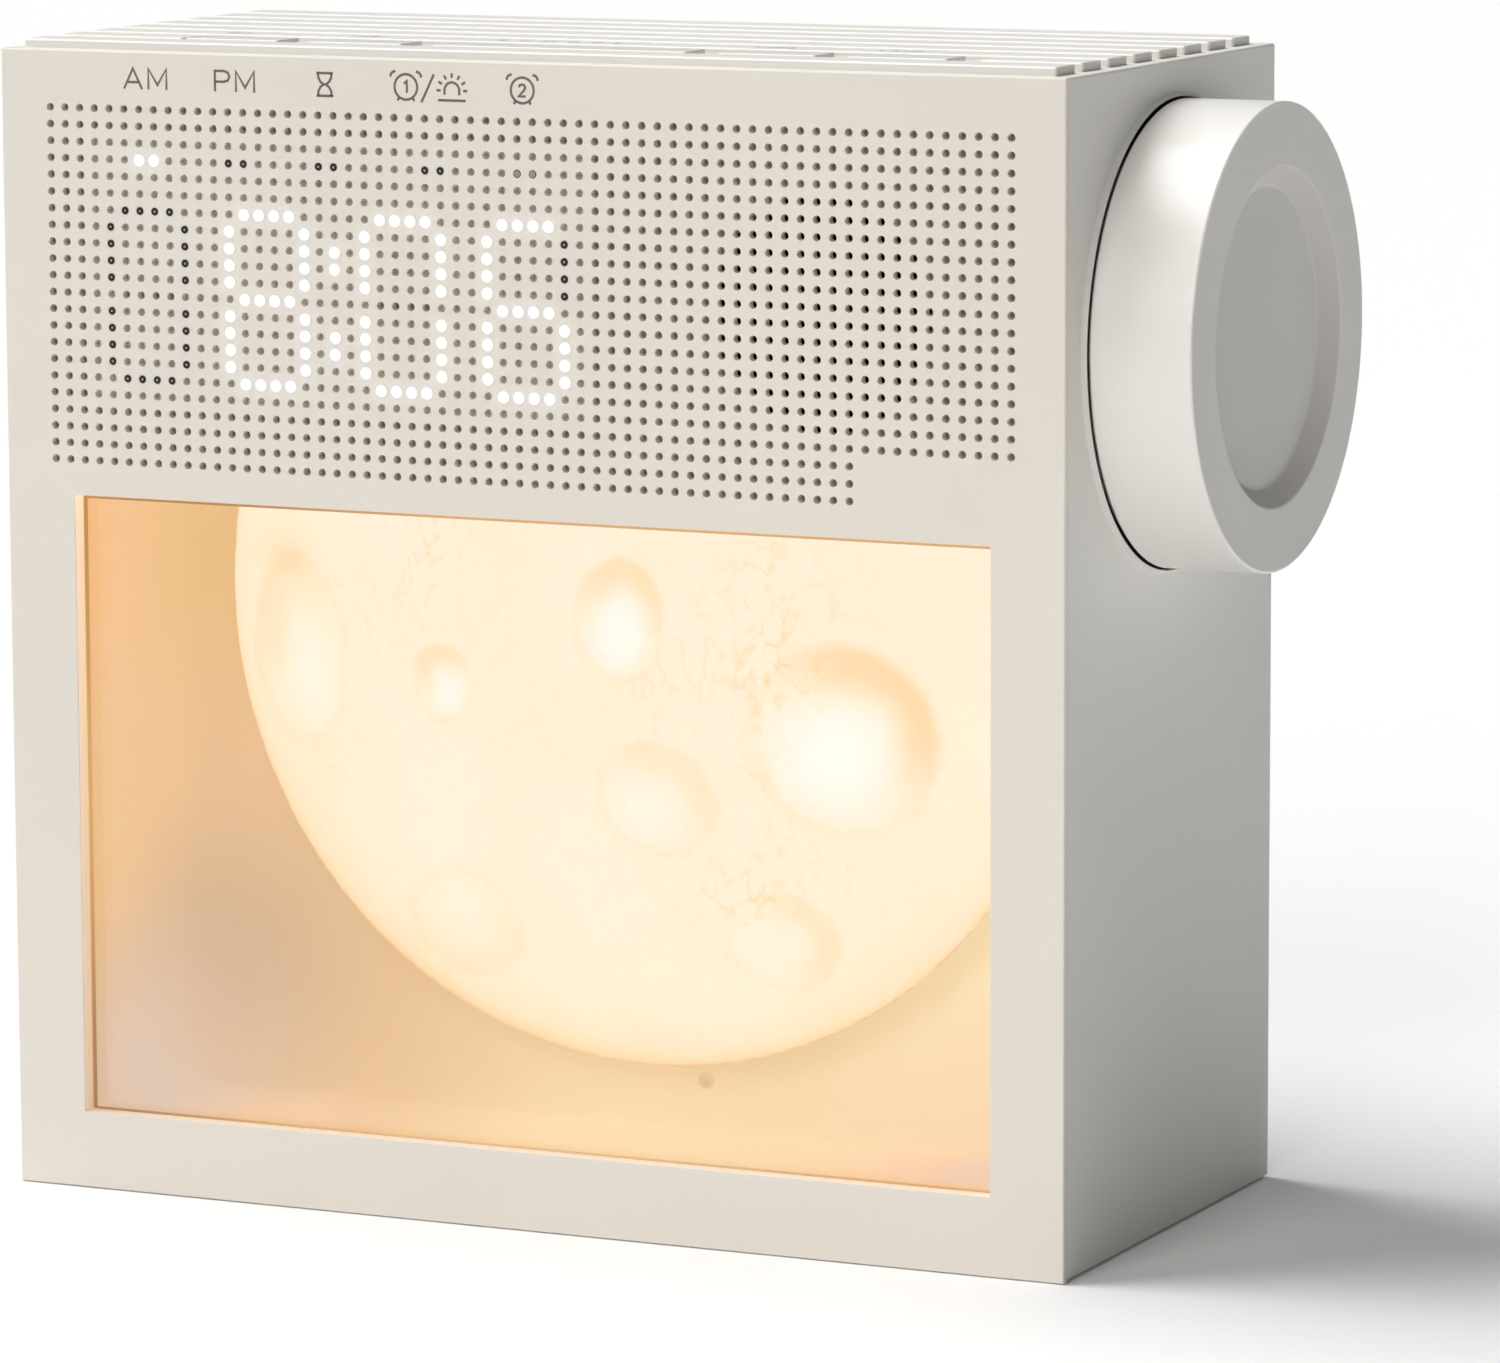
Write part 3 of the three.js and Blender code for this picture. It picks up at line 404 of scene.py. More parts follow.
paneAcrylic = clearAcrylic("acrylicCast")
diodeWhite = litDiode("diodeLit", 0.7)
moonMaterial = moonResin("polycarbonateMilky", moonSkin)
revealMaterial = litReveal("absLampSoaked", 0.62)
moonShade = ((3, moonBackY, moonZ), moonRadius - 1.0, moonRadius + 4.5, "#f3ede1")
trayMaterial = lampPaint("trayPainted", "#e5bb8a", [
    ((60, 2, 35), 95, "#ffe9ba"),
    ((0, -5, 6), 52, "#fadaa9"),
    ((-67, -28, 86), 62, "#f5bd82"),
    ((-67, -28, 50), 34, "#edc08b"),
    ((-64, 2, 80), 26, "#e8ba76"),
    ((-62, 0, 26), 26, "#d2ad88"),
    ((-67, -16, 10), 32, "#dac1b0"),
    ((-44, -16, 9), 20, "#f0c6a0"),
    ((54, -18, 11), 34, "#f8c59e"),
    ((57, -14, 9), 17, "#e8c6ac"),
], [moonShade])
seamMaterial = lampPaint("seamShaded", "#d9a767", [
    ((-65, -32, 12), 40, "#a87c58"), ((0, -32, 11), 60, "#e2b888"), ((-50, -32, 93), 45, "#b07c45")])
sensorMaterial = lampPaint("lensLampLit", "#e9c592", [((8.5, 1.5, 13.6), 1.4, "#d9b280")])
print("lamp materials made")

# front plate: flat face with a grid of round holes, rounded at its border and at the window
front = {"edge": 0.25, "windowEdge": 0.1, "footLip": 0.2, "footBand": 1.0, "pitch": 2.185, "columns": 63,
         "rows": 22, "sideMargin": 7.265, "topMargin": 7.47, "holeRadius": 0.52, "holeChamfer": 0.07,
         "bareRows": 3, "bareFrom": 53}
holeX = fasciaLow[0] + front["sideMargin"] + front["pitch"] * np.arange(front["columns"])
holeZ = topZ - front["topMargin"] - front["pitch"] * np.arange(front["rows"] - 1, -1, -1)  # lowest row first

# display: the dots of the hole grid that have a diode behind them, as column and row from the top
display = {"topRow": 6, "haloMm": 1.5, "darkRadius": 0.5, "glintRadius": 0.16, "cloudedRadius": 0.44,
           "litRadii": [0, 0.5, 0.66, 0.82, 1.0], "litGlow": [1, 1, 0.6, 0.22, 0], "litSides": 16,
           "litProud": 0.03, "lensProud": 0.01, "glintProud": 0.02}
signRow = 3
spareAt, hourAt, tensAt, onesAt = 4, 12, 21, 29  # first columns of the digits
signColumns = {"am": 6, "pm": 12, "timer": 18, "first": 25, "second": 31}
colon = [(19, 8), (19, 9), (19, 13), (19, 14)]


# dots of a digit: rows of four across, columns of four up and down, on the hole grid
def digitDots(column, names):
    four = np.arange(1, 5)
    dots = {"top": (four, 0), "middle": (four, 5), "bottom": (four, 10), "upLeft": (0, four),
            "upRight": (5, four), "lowLeft": (0, four + 5), "lowRight": (5, four + 5)}
    pairs = [np.broadcast_arrays(*np.atleast_1d(*dots[name])) for name in names]
    return np.concatenate([np.stack([column + u, display["topRow"] + v], 1) for u, v in pairs])


def signDots(*titles):  # the pair of dots under each printed sign
    return [(signColumns[title] + step, signRow) for title in titles for step in (0, 1)]


eight = ["top", "middle", "bottom", "upLeft", "upRight", "lowLeft", "lowRight"]
nought = [name for name in eight if name != "middle"]
six = [name for name in eight if name != "upRight"]
lit = np.concatenate([digitDots(hourAt, eight), digitDots(tensAt, nought),
                      digitDots(onesAt, six), signDots("am"), colon])
dark = np.concatenate([digitDots(spareAt, nought), digitDots(onesAt, ["upRight"]),
                       signDots("pm", "timer", "first")])
clouded = np.array(signDots("second"))


def wayOut(points, low, high):  # 1 on the high sides of a box, -1 on its low sides, 0 between
    return (points > high - tiny) * 1.0 - (points < low + tiny)


# grid of lines with four steps to a hole's cell; the 16 points round a cell lead to a round hole of 16 sides
def frontPlate(s):
    edge, rim = s["edge"], s["windowEdge"]
    flatLow, flatHigh = np.array([(edge - sideX, bottomZ + edge), (sideX - edge, topZ - edge)])
    cutLow, cutHigh = np.array([(-windowX - rim, windowLow - rim), (windowX + rim, windowHigh + rim)])
    step = s["pitch"] / 4
    xCells = holeX[0] - 2 * step + step * np.arange(4 * s["columns"] + 1)
    for x in (cutLow[0], cutHigh[0]):
        xCells[np.abs(xCells - x).argmin()] = x
    zCells = holeZ[0] - 2 * step + step * np.arange(4 * s["rows"] + 1)
    xLow = [flatLow[0], flatLow[0] + near]
    zLow = [flatLow[1], flatLow[1] + near, cutLow[1] - near, cutLow[1], cutHigh[1], cutHigh[1] + near]
    sillRow, headRow = zLow.index(cutLow[1]), zLow.index(cutHigh[1])
    xLines = np.r_[xLow, xCells, flatHigh[0] - near, flatHigh[0]]
    zLines = np.r_[zLow, zCells, flatHigh[1] - near, flatHigh[1]]
    columns, rows = len(xLines), len(zLines)
    x, z = np.meshgrid(xLines, zLines)
    flat = np.stack([x, np.full_like(x, frontY), z], -1).reshape(-1, 3)
    left, right = np.searchsorted(xLines, [cutLow[0] - tiny, cutHigh[0] - tiny])
    kept = np.ones((rows - 1, columns - 1), bool)
    kept[sillRow, left:right] = False
    u, v = np.meshgrid(np.arange(s["columns"]), np.arange(s["rows"]), indexing="ij")
    holed = ~((v < s["bareRows"]) & (u >= s["bareFrom"]))
    kept[len(zLow):-2, len(xLow):-2] &= np.kron(holed.T, np.ones((4, 4))) == 0
    j, i = np.nonzero(kept)
    at = j * columns + i
    flatFaces = np.stack([at, at + 1, at + columns + 1, at + columns], 1)
    # borders of the holed cells and the three rings of each hole
    cellI, cellJ = len(xLow) + 4 * u[holed], len(zLow) + 4 * v[holed]
    side, zero = np.arange(4), np.zeros(4, int)
    walkI = np.r_[side, zero + 4, 4 - side, zero]
    walkJ = np.r_[zero, side, zero + 4, 4 - side]
    around = (cellJ[:, None] + walkJ) * columns + cellI[:, None] + walkI
    turn = np.radians(-135 + 22.5 * np.arange(16))
    radii = np.array([s["holeRadius"] + s["holeChamfer"], s["holeRadius"], s["holeRadius"]])[:, None]
    depths = np.array([frontY, frontY + s["holeChamfer"], fasciaBackY])[:, None]
    ringX = holeX[u[holed]][:, None, None] + radii * np.cos(turn)
    ringZ = holeZ[v[holed]][:, None, None] + radii * np.sin(turn)
    rings = np.stack([ringX, np.broadcast_to(depths, ringX.shape), ringZ], -1)
    ringAt = len(flat) + np.arange(ringX.size).reshape(ringX.shape)
    chain = np.concatenate([around[:, None], ringAt], 1)
    after = np.roll(chain, -1, 2)
    holeFaces = np.stack([chain[:, :-1], after[:, :-1], after[:, 1:], chain[:, 1:]], -1).reshape(-1, 4)
    plate = np.concatenate([flat, rings.reshape(-1, 3)]), np.concatenate([flatFaces, holeFaces])
    # border and window carried over their rounds to the back of the plate and to the pane
    grid = np.arange(rows * columns).reshape(rows, columns)
    outside = np.r_[grid[0], grid[1:, -1], grid[-1, -2::-1], grid[-2:0:-1, 0]]
    inside = np.r_[grid[sillRow, left:right + 1], grid[headRow, left:right + 1][::-1]]
    outer, inner = flat[outside][:, [0, 2]], flat[inside][:, [0, 2]]
    outerRows = np.vstack([fillet(edge, edge, frontY, -1)[-2::-1], (edge, fasciaBackY)])
    innerRows = fillet(rim, rim, frontY, -1)[-2::-1]
    border = carried(outer, wayOut(outer, flatLow, flatHigh), outerRows, "y")
    return joined(plate, border, carried(inner, -wayOut(inner, cutLow, cutHigh), innerRows, "y"))


frontPoints, frontFaces = frontPlate(front)
frontPoints[frontPoints[:, 2] < bottomZ + front["footBand"], 2] -= front["footLip"]
litAt = np.stack([holeX[lit[:, 0]], holeZ[::-1][lit[:, 1]]], 1)
away = np.hypot(*(frontPoints[:, None, [0, 2]] - litAt[None]).transpose(2, 0, 1)).min(1)
makePiece("frontPlate", (frontPoints, frontFaces), frontPlastic, hides=["fascia"], slot="shell",
          glow=np.exp(-(away / display["haloMm"]) ** 2))
print("front plate made")

# case: a rounded box open at the front, with key openings in its deck and a rim round the rear cover
case = {"corner": 0.35, "rearEdge": 0.3, "wall": 2.5, "rimDepth": 3.1, "keyGap": 0.3, "deck": 2.5}
keyLip = 0.8  # flange under the deck round each key
keySpans = [span(f"top_key_{i}") for i in range(1, 6)]
keyEdges = [(low[0] + keyLip, high[0] - keyLip, low[1] + keyLip, high[1] - keyLip) for low, high in keySpans]


# the case's section carried from front to rear; points on its top edge mark the keys' openings
def caseSleeve(s):
    loop, normal = roundedLoop(-sideX, sideX, bottomZ, topZ, s["corner"])
    cuts = np.array([(x0 - s["keyGap"], x1 + s["keyGap"]) for x0, x1, y0, y1 in keyEdges])
    deckX = np.sort(cuts.ravel())[::-1]
    at = len(loop) // 2
    loop = np.insert(loop, at, np.stack([deckX, np.full(len(deckX), topZ)], 1), 0)
    normal = np.insert(normal, [at] * len(deckX), (0, 1), 0)
    keyY0, keyY1 = keyEdges[0][2] - s["keyGap"], keyEdges[0][3] + s["keyGap"]
    wall = s["wall"]
    rows = np.vstack([[(0, fasciaBackY), (0, keyY0), (0, keyY1)], fillet(s["rearEdge"], 0, rearY),
                      [(-wall, rearY), (-wall, rearY - s["rimDepth"])]])
    points, faces = carried(loop, normal, rows, "y")
    # the rim is wider than the corner's round, so its two inner rows follow a loop of their own
    rim, _ = roundedLoop(wall - sideX, sideX - wall, bottomZ + wall, topZ - wall, s["corner"])
    rim = np.insert(rim, at, np.stack([deckX, np.full(len(deckX), topZ - wall)], 1), 0)
    points.reshape(len(rows), len(loop), 3)[-2:, :, [0, 2]] = rim
    kept = np.ones((len(rows) - 1, len(loop)), bool)
    kept[1, at:at + len(deckX):2] = False
    shapes = [(points, faces[kept.ravel()])]
    for x1, x0 in deckX.reshape(-1, 2):
        corners = np.array([(x0, keyY0), (x1, keyY0), (x1, keyY1), (x0, keyY1)])
        shapes.append(carried(corners, corners * 0, [(0, topZ), (0, topZ - s["deck"])], "z"))
    return joined(*shapes)


wallPlate = {"opening": 15.0, "halfX": 72.4, "low": topZ - 56.5, "high": topZ - 2.6, "setBack": 0.03,
             "turns": 96, "lipDepth": 1.5, "clothDepth": 1.5}


# wall behind the holes: rays from the speaker's round opening out to a rectangle
def holeFloor(s):
    low = np.array([-s["halfX"] - speakerX, s["low"] - speakerZ])
    high = np.array([s["halfX"] - speakerX, s["high"] - speakerZ])
    corners = np.arctan2(np.tile([low[1], high[1]], 2), np.repeat([low[0], high[0]], 2))
    turn = np.sort(np.r_[np.linspace(-math.pi, math.pi, s["turns"], endpoint=False), corners])
    way = np.stack([np.cos(turn), np.sin(turn)], 1)
    reach = (np.where(way > 0, high, -low) / np.maximum(np.abs(way), tiny)).min(1)
    y = fasciaBackY + s["setBack"]
    rings = [way * s["opening"], way * s["opening"], way * reach[:, None]]
    points = np.stack([np.c_[ring[:, 0] + speakerX, np.full(len(ring), depth), ring[:, 1] + speakerZ]
                       for ring, depth in zip(rings, (y + s["lipDepth"], y, y))])
    return points.reshape(-1, 3), gridFaces(3, len(turn), wrap=True)


makePiece("caseSleeve", caseSleeve(case), shellPlastic, hides=["housing"], slot="shell")
# the wall behind the holes takes the darker film as painted shade in the holes
makePiece("holeFloor", holeFloor(wallPlate), holeShadeFilm, slot="shell")
clothY = fasciaBackY + wallPlate["clothDepth"]
cloth = turned([(0, clothY), (wallPlate["opening"], clothY)], "y", (speakerX, 0, speakerZ), 64)
makePiece("speakerCloth", cloth, blackFeltAndShade, slot="black", turnOut=False)
print("case made")

# ribs across the top: low bars with rounded edges; one of them is broken up by the keys
ribs = {"width": 6.0, "pitch": 8.36, "count": 8, "firstY": -29.75, "halfX": 72.75, "edge": 0.26,
        "corner": 0.3, "root": 0.2, "keyRib": 1, "slot": 4.4, "firstGap": 0.5, "notch": 0.45, "gap": 0.3,
        "roundFrom": 2, "roundTo": 6}


def ribProfile(drop):  # rows of a rib whose top lies this far under the crown
    return np.vstack([(0, topZ - ribs["root"]), fillet(ribs["edge"], 0, crownZ - drop)])


ribRows = ribProfile(0.0)
ribShapes = []
for i in range(ribs["count"]):
    y = ribs["firstY"] + ribs["pitch"] * i
    spans = [(-ribs["halfX"], ribs["halfX"])]
    if i == ribs["keyRib"]:
        spans = [(-ribs["halfX"], keyEdges[0][0] - ribs["firstGap"]),
                 (keyEdges[-1][1] + ribs["slot"], ribs["halfX"])]
    for x0, x1 in spans:
        y0, y1 = y - ribs["width"] / 2, y + ribs["width"] / 2
        ribShapes.append(bar(x0, x1, y0, y1, ribs["corner"], ribRows, "z"))
notchRows = ribProfile(ribs["notch"])
for x0, x1, y0, y1 in keyEdges:
    left, right = x1 + ribs["gap"], x1 + ribs["slot"] - ribs["gap"]
    ribShapes.append(bar(left, right, y0, y1, ribs["corner"], notchRows, "z"))
ribLoop = len(roundedLoop(x0, x1, y0, y1, ribs["corner"])[0])
# faces on each rib's rounded edge, which take the lighter material as a painted highlight
ribBand = np.tile(np.repeat(np.arange(len(ribRows) + 1), ribLoop), len(ribShapes))
onRound = (ribBand >= ribs["roundFrom"]) & (ribBand <= ribs["roundTo"])
makePiece("topRibs", joined(*ribShapes), ribShadedPlastic, slot="shell", second=(edgeHighlightPlastic, onRound))

keys = {"edge": 0.22, "corner": 0.25, "flangeTop": 1.0}
for number, ((low, high), (x0, x1, y0, y1)) in enumerate(zip(keySpans, keyEdges), 1):
    flangeZ = low[2] + keys["flangeTop"]
    flange = [(keyLip, low[2]), (keyLip, flangeZ), (0, flangeZ)]
    keyRows = np.vstack([flange, fillet(keys["edge"], 0, high[2])])
    shape = bar(x0, x1, y0, y1, keys["corner"], keyRows, "z")
    makePiece(f"topKey{number}", shape, satinPlastic, f"key_{number}", [f"top_key_{number}"], "keys")
print("ribs and keys made")

# knob: a shallow cap with a dished face, turned about its own axis, in a low collar on the case's side
knob = {"edge": 0.3, "dish": 21.5, "dishDepth": 2.3, "lip": 0.3, "foot": 0.5, "wall": 1.5, "backEdge": 0.3,
        "turns": 192}
collar = {"gap": 0.24, "top": 0.2, "slope": 0.25, "foot": 0.3, "height": 0.75, "edge": 0.12, "root": 0.2,
          "crestEnd": 0.2, "footStart": 0.7}
gapShade = {"under": 1.2, "lift": 0.02, "clear": 0.01, "turns": 96}


# half section of the knob: inside, skirt, rim, then the dish with a wall at 45 degrees
def knobProfile(s):
    back, face = knobLow[0], knobHigh[0]
    floor = face - s["dishDepth"]
    inner = s["dish"] - s["dishDepth"]
    inside = knobRadius - s["wall"]
    backRadius = knobRadius - s["backEdge"]
    lipStep, footStep = s["lip"] * math.sqrt(0.5), s["foot"] * math.sqrt(0.5)
    lip = bend((s["dish"] + s["lip"], face), (s["dish"], face), (s["dish"] - lipStep, face - lipStep))
    foot = bend((inner + footStep, floor + footStep), (inner, floor), (inner - s["foot"], floor))
    backEnd = back + s["backEdge"]
    skirt = [(0, floor - s["wall"]), (inside, floor - s["wall"]), (inside, back), (backRadius - near, back),
             (backRadius, back), (knobRadius, backEnd), (knobRadius, backEnd + near)]
    dish = np.vstack([[(s["dish"] + s["lip"] + near, face)], lip, foot,
                      [(inner - s["foot"] - near, floor), (0, floor)]])
    return np.vstack([skirt, fillet(s["edge"], knobRadius, face), dish]), len(dish)


# half section of the collar: up from the gap, over its crest and down a slope that runs out on the side
def collarProfile(s):
    face, inner = sideX + s["height"], knobRadius + s["gap"]
    outer, low, root = inner + s["top"], inner + s["top"] + s["slope"], sideX - s["root"]
    crestEnd = outer + s["crestEnd"] * s["slope"], face - s["crestEnd"] * s["height"]
    footStart = outer + s["footStart"] * s["slope"], face - s["footStart"] * s["height"]
    crest = bend((outer - s["edge"], face), (outer, face), crestEnd, 4)
    foot = bend(footStart, (low, sideX), (low + s["foot"], sideX), 6)
    return np.vstack([[(inner, root), (inner, face - s["edge"]), (inner + s["edge"], face)], crest, foot,
                      [(low + s["foot"], root)]])


knobRows, dishRows = knobProfile(knob)
bandRadius = (knobRows[1:, 0] + knobRows[:-1, 0]) / 2
inDish = np.arange(len(bandRadius)) >= len(bandRadius) - dishRows
knobBand = inDish * (1 + (bandRadius < knob["dish"]) + (bandRadius < knob["dish"] - knob["dishDepth"]))
knobCentre = (0, 0, knobZ)
knobShape = turned(knobRows, "x", knobCentre, knob["turns"])
# the rim, the dish's wall and its floor take their own lighter and darker copies of the face material:
# painted light and shade
makePiece("knobCap", knobShape, satinPlastic, "knob", ["knob_shell"], "knob",
          second=(rimLitPlastic, wallShadedPlastic, facePlastic, np.repeat(knobBand, knob["turns"])))
# a black ring in the gap between the knob and its collar: painted shade in the gap
gapShadeX = sideX + gapShade["lift"]
gapShadeRing = [(knobRadius - gapShade["under"], gapShadeX), (knobRadius + collar["gap"] - gapShade["clear"], gapShadeX)]
makePiece("gapShade", turned(gapShadeRing, "x", knobCentre, gapShade["turns"]), blackFeltAndShade, slot="black", turnOut=False)
makePiece("sideCollar", turned(collarProfile(collar), "x", knobCentre), shellPlastic, slot="shell")
print("knob made")

# window pane, the lit reveal in front of it and the seam between the two
pane = {"edge": 0.2, "corner": 1.0, "seam": 0.15, "seamTop": 4.0, "seamDepth": 0.8, "seamGap": 0.01}
reveal = {"gap": 0.02, "rows": 4, "sill": 0.5, "base": 0.5, "riseMm": 90, "steep": 0.7}
paneRows = [(-pane["edge"], paneLow[1]), (0, paneLow[1] + pane["edge"]), (0, paneHigh[1] - pane["edge"]),
            (-pane["edge"], paneHigh[1])]
paneShape = bar(paneLow[0], paneHigh[0], paneLow[2], paneHigh[2], pane["corner"], paneRows, "y")
makePiece("windowPane", paneShape, paneAcrylic, hides=["window_pane"], slot="pane")
windowLoop, windowWay = roundedLoop(-windowX, windowX, windowLow, windowHigh, window["corner"], 4)
onSill, onHead = windowWay[:, 1] < -reveal["steep"], windowWay[:, 1] > reveal["steep"]
revealY = np.linspace(frontY + front["windowEdge"], paneLow[1] - reveal["gap"], reveal["rows"])
revealRows = [(0, y) for y in revealY]
revealGlow = np.clip(reveal["base"] + windowLoop[:, 1] / reveal["riseMm"], 0, 1)
revealGlow[onSill] = reveal["sill"]
makePiece("windowReveal", carried(windowLoop, windowWay, revealRows, "y"), revealMaterial, slot="shell",
          glow=np.tile(revealGlow, len(revealRows)))
# a dark seam round the pane, partly a dark joint and partly painted shadow; under the window's head it is
# four times wider, as painted shadow
seamFront, seamBack = paneLow[1] - pane["seamDepth"], paneLow[1] - pane["seamGap"]
seamRows = [(0, seamFront), (-pane["seam"], seamFront), (-pane["seam"], seamBack), (0, seamBack),
            (0, seamFront)]
seamWay = windowWay * np.where(onHead, pane["seamTop"], 1.0)[:, None]
makePiece("paneSeam", carried(windowLoop, seamWay, seamRows, "y"), seamMaterial, slot="chamber")

tray = {"lip": 2.0, "wall": 1.6, "cove": 6.0, "steps": 10}


# tray: its wall turns through a quarter circle into the back; outside it is plain, with a flat rear
def lampTray(s):
    x1, z0, z1 = windowX + s["lip"], windowLow - s["lip"], windowHigh + s["lip"]
    loop, normal = roundedLoop(-x1, x1, z0, z1, s["cove"] + 1, 8)
    ridge = midline(loop, -x1, x1, z0, z1)
    mouth, rear = boxLow[1], boxHigh[1]
    turn = np.radians(np.linspace(0, 90, s["steps"] + 1))
    cove = [(-s["cove"] * (1 - math.cos(t)), moonBackY - s["cove"] * (1 - math.sin(t))) for t in turn]
    rows = [(0, mouth)] + cove
    rim = carried(loop, normal, [(0, mouth), (s["wall"], mouth)], "y")
    litShell = joined(carried(loop, normal, rows, "y"), lid(loop, normal, ridge, rows[-1], "y"), rim)
    outside = carried(loop, normal, [(s["wall"], mouth), (s["wall"], rear)], "y")
    return litShell, joined(outside, lid(loop, normal, ridge, (s["wall"], rear), "y"))


litShell, plainShell = lampTray(tray)
unlit = np.arange(len(litShell[1]) + len(plainShell[1])) >= len(litShell[1])
makePiece("lampTray", joined(litShell, plainShell), trayMaterial, hides=["light_box"], slot="chamber",
          second=(whiteNylon, unlit))
print("pane and tray made")

# moon: a shallow sphere cut off at the ceiling, with craters sunk into it and a rough skin
moon = {"rise": 14.0, "rings": 150, "turns": 360, "rough": 0.35, "roughMm": 14, "seed": 7, "smoothEdge": 3,
        "ragged": 0.1, "raggedMm": 5, "raggedSeed": 40, "glow": 0.55, "roughGlow": 0.06, "skirtDark": 0.2}
# parts of a crater in shares of its half size: where each ends or peaks, and over how much it fades
bowl = {"sunk": (1.05, 0.6), "lip": (1.12, 0.16), "shaded": (1.1, 0.22), "floor": (0.75, 0.5),
        "rim": (1.02, 0.075), "lipRise": 0.25, "rimDark": 0.075, "sideBase": 0.35, "sideTurn": 0.75,
        "leastAway": 0.2, "lightShift": 0.3, "lightWide": 0.3}
# how much the moon is dimmed at its edges, and over how many mm
dimmed = {"edge": (0.2, 0.45), "top": (0.1, 3.0), "left": (0.13, 6.0), "low": (0.33, 4.0)}
# across, up, half width, half height, depth, brightness of the floor, shade of the wall, its way in degrees
craters = [
    (33.3, -14.5, 11.8, 12.2, 1.9, 0.42, 0.36, 44),
    (2.9, 0.3, 6.2, 7.9, 1.2, 0.4, 0.28, 80),
    (-24.1, -10.0, 4.5, 5.0, 0.8, 0.26, 0.22, 110),
    (-48.8, -8.0, 8.2, 12.5, 1.0, 0.16, 0.1, 120),
    (7.2, -23.5, 8.1, 7.2, 1.2, 0.16, 0.15, 45),
    (-24.0, -43.2, 8.5, 6.9, 0.7, 0.05, 0.08, -45),
    (22.3, -42.4, 7.6, 6.4, 0.9, 0.1, 0.17, 20),
]
# across, up, reach and strength of the patches where the skin is wrinkled
creases = [
    (22.0, 8.0, 6, 0.7), (24.0, -2.0, 6, 1.0), (22.5, -9.5, 5, 1.0), (14.0, -3.0, 8, 0.7),
    (21.0, -19.0, 4, 0.8), (26.0, -27.5, 5, 0.7), (19.0, -36.0, 6, 0.9), (12.0, -38.0, 7, 0.4),
    (31.0, 4.0, 8, 0.5), (-33.0, -1.0, 12, 0.45), (-27.0, 8.0, 6, 0.8), (-45.0, -22.0, 6, 0.5),
    (6.0, -9.0, 7, 0.6), (31.0, -33.0, 6, 0.5), (-18.0, 4.0, 12, 0.3),
]
# across, up, half sizes and depth of patches of painted shade on the crater at the moon's left edge
shadePatches = [(-51.0, 4.5, 4.5, 3.0, 0.2), (-54.0, -4.0, 2.5, 7.0, 0.05)]


def easeIn(value):  # 0 to 1 with level ends
    value = np.clip(value, 0, 1)
    return value * value * (3 - 2 * value)


# smooth noise: seeded values on a lattice, blended between its corners; each finer layer adds half as much
def lumps(x, z, sizeMm, layers, seed, side=64):
    total = np.zeros_like(x)
    for layer in range(layers):
        values = np.random.default_rng(seed + layer).random((side, side))
        a, b = x / sizeMm * 2 ** layer + 10 * side, z / sizeMm * 2 ** layer + 10 * side
        i, j = np.floor(a).astype(int), np.floor(b).astype(int)
        s, t = easeIn(a - i), easeIn(b - j)
        i0, i1, j0, j1 = i % side, (i + 1) % side, j % side, (j + 1) % side
        low = values[i0, j0] * (1 - s) + values[i1, j0] * s
        high = values[i0, j1] * (1 - s) + values[i1, j1] * s
        total += (low * (1 - t) + high * t - 0.5) / 2 ** layer
    return total


def fall(away, end, wide):  # 1 inside, going down to 0 at the end
    return easeIn((end - away) / wide)


def crest(away, middle, wide):  # bell curve round the middle
    return np.exp(-((away - middle) / wide) ** 2)


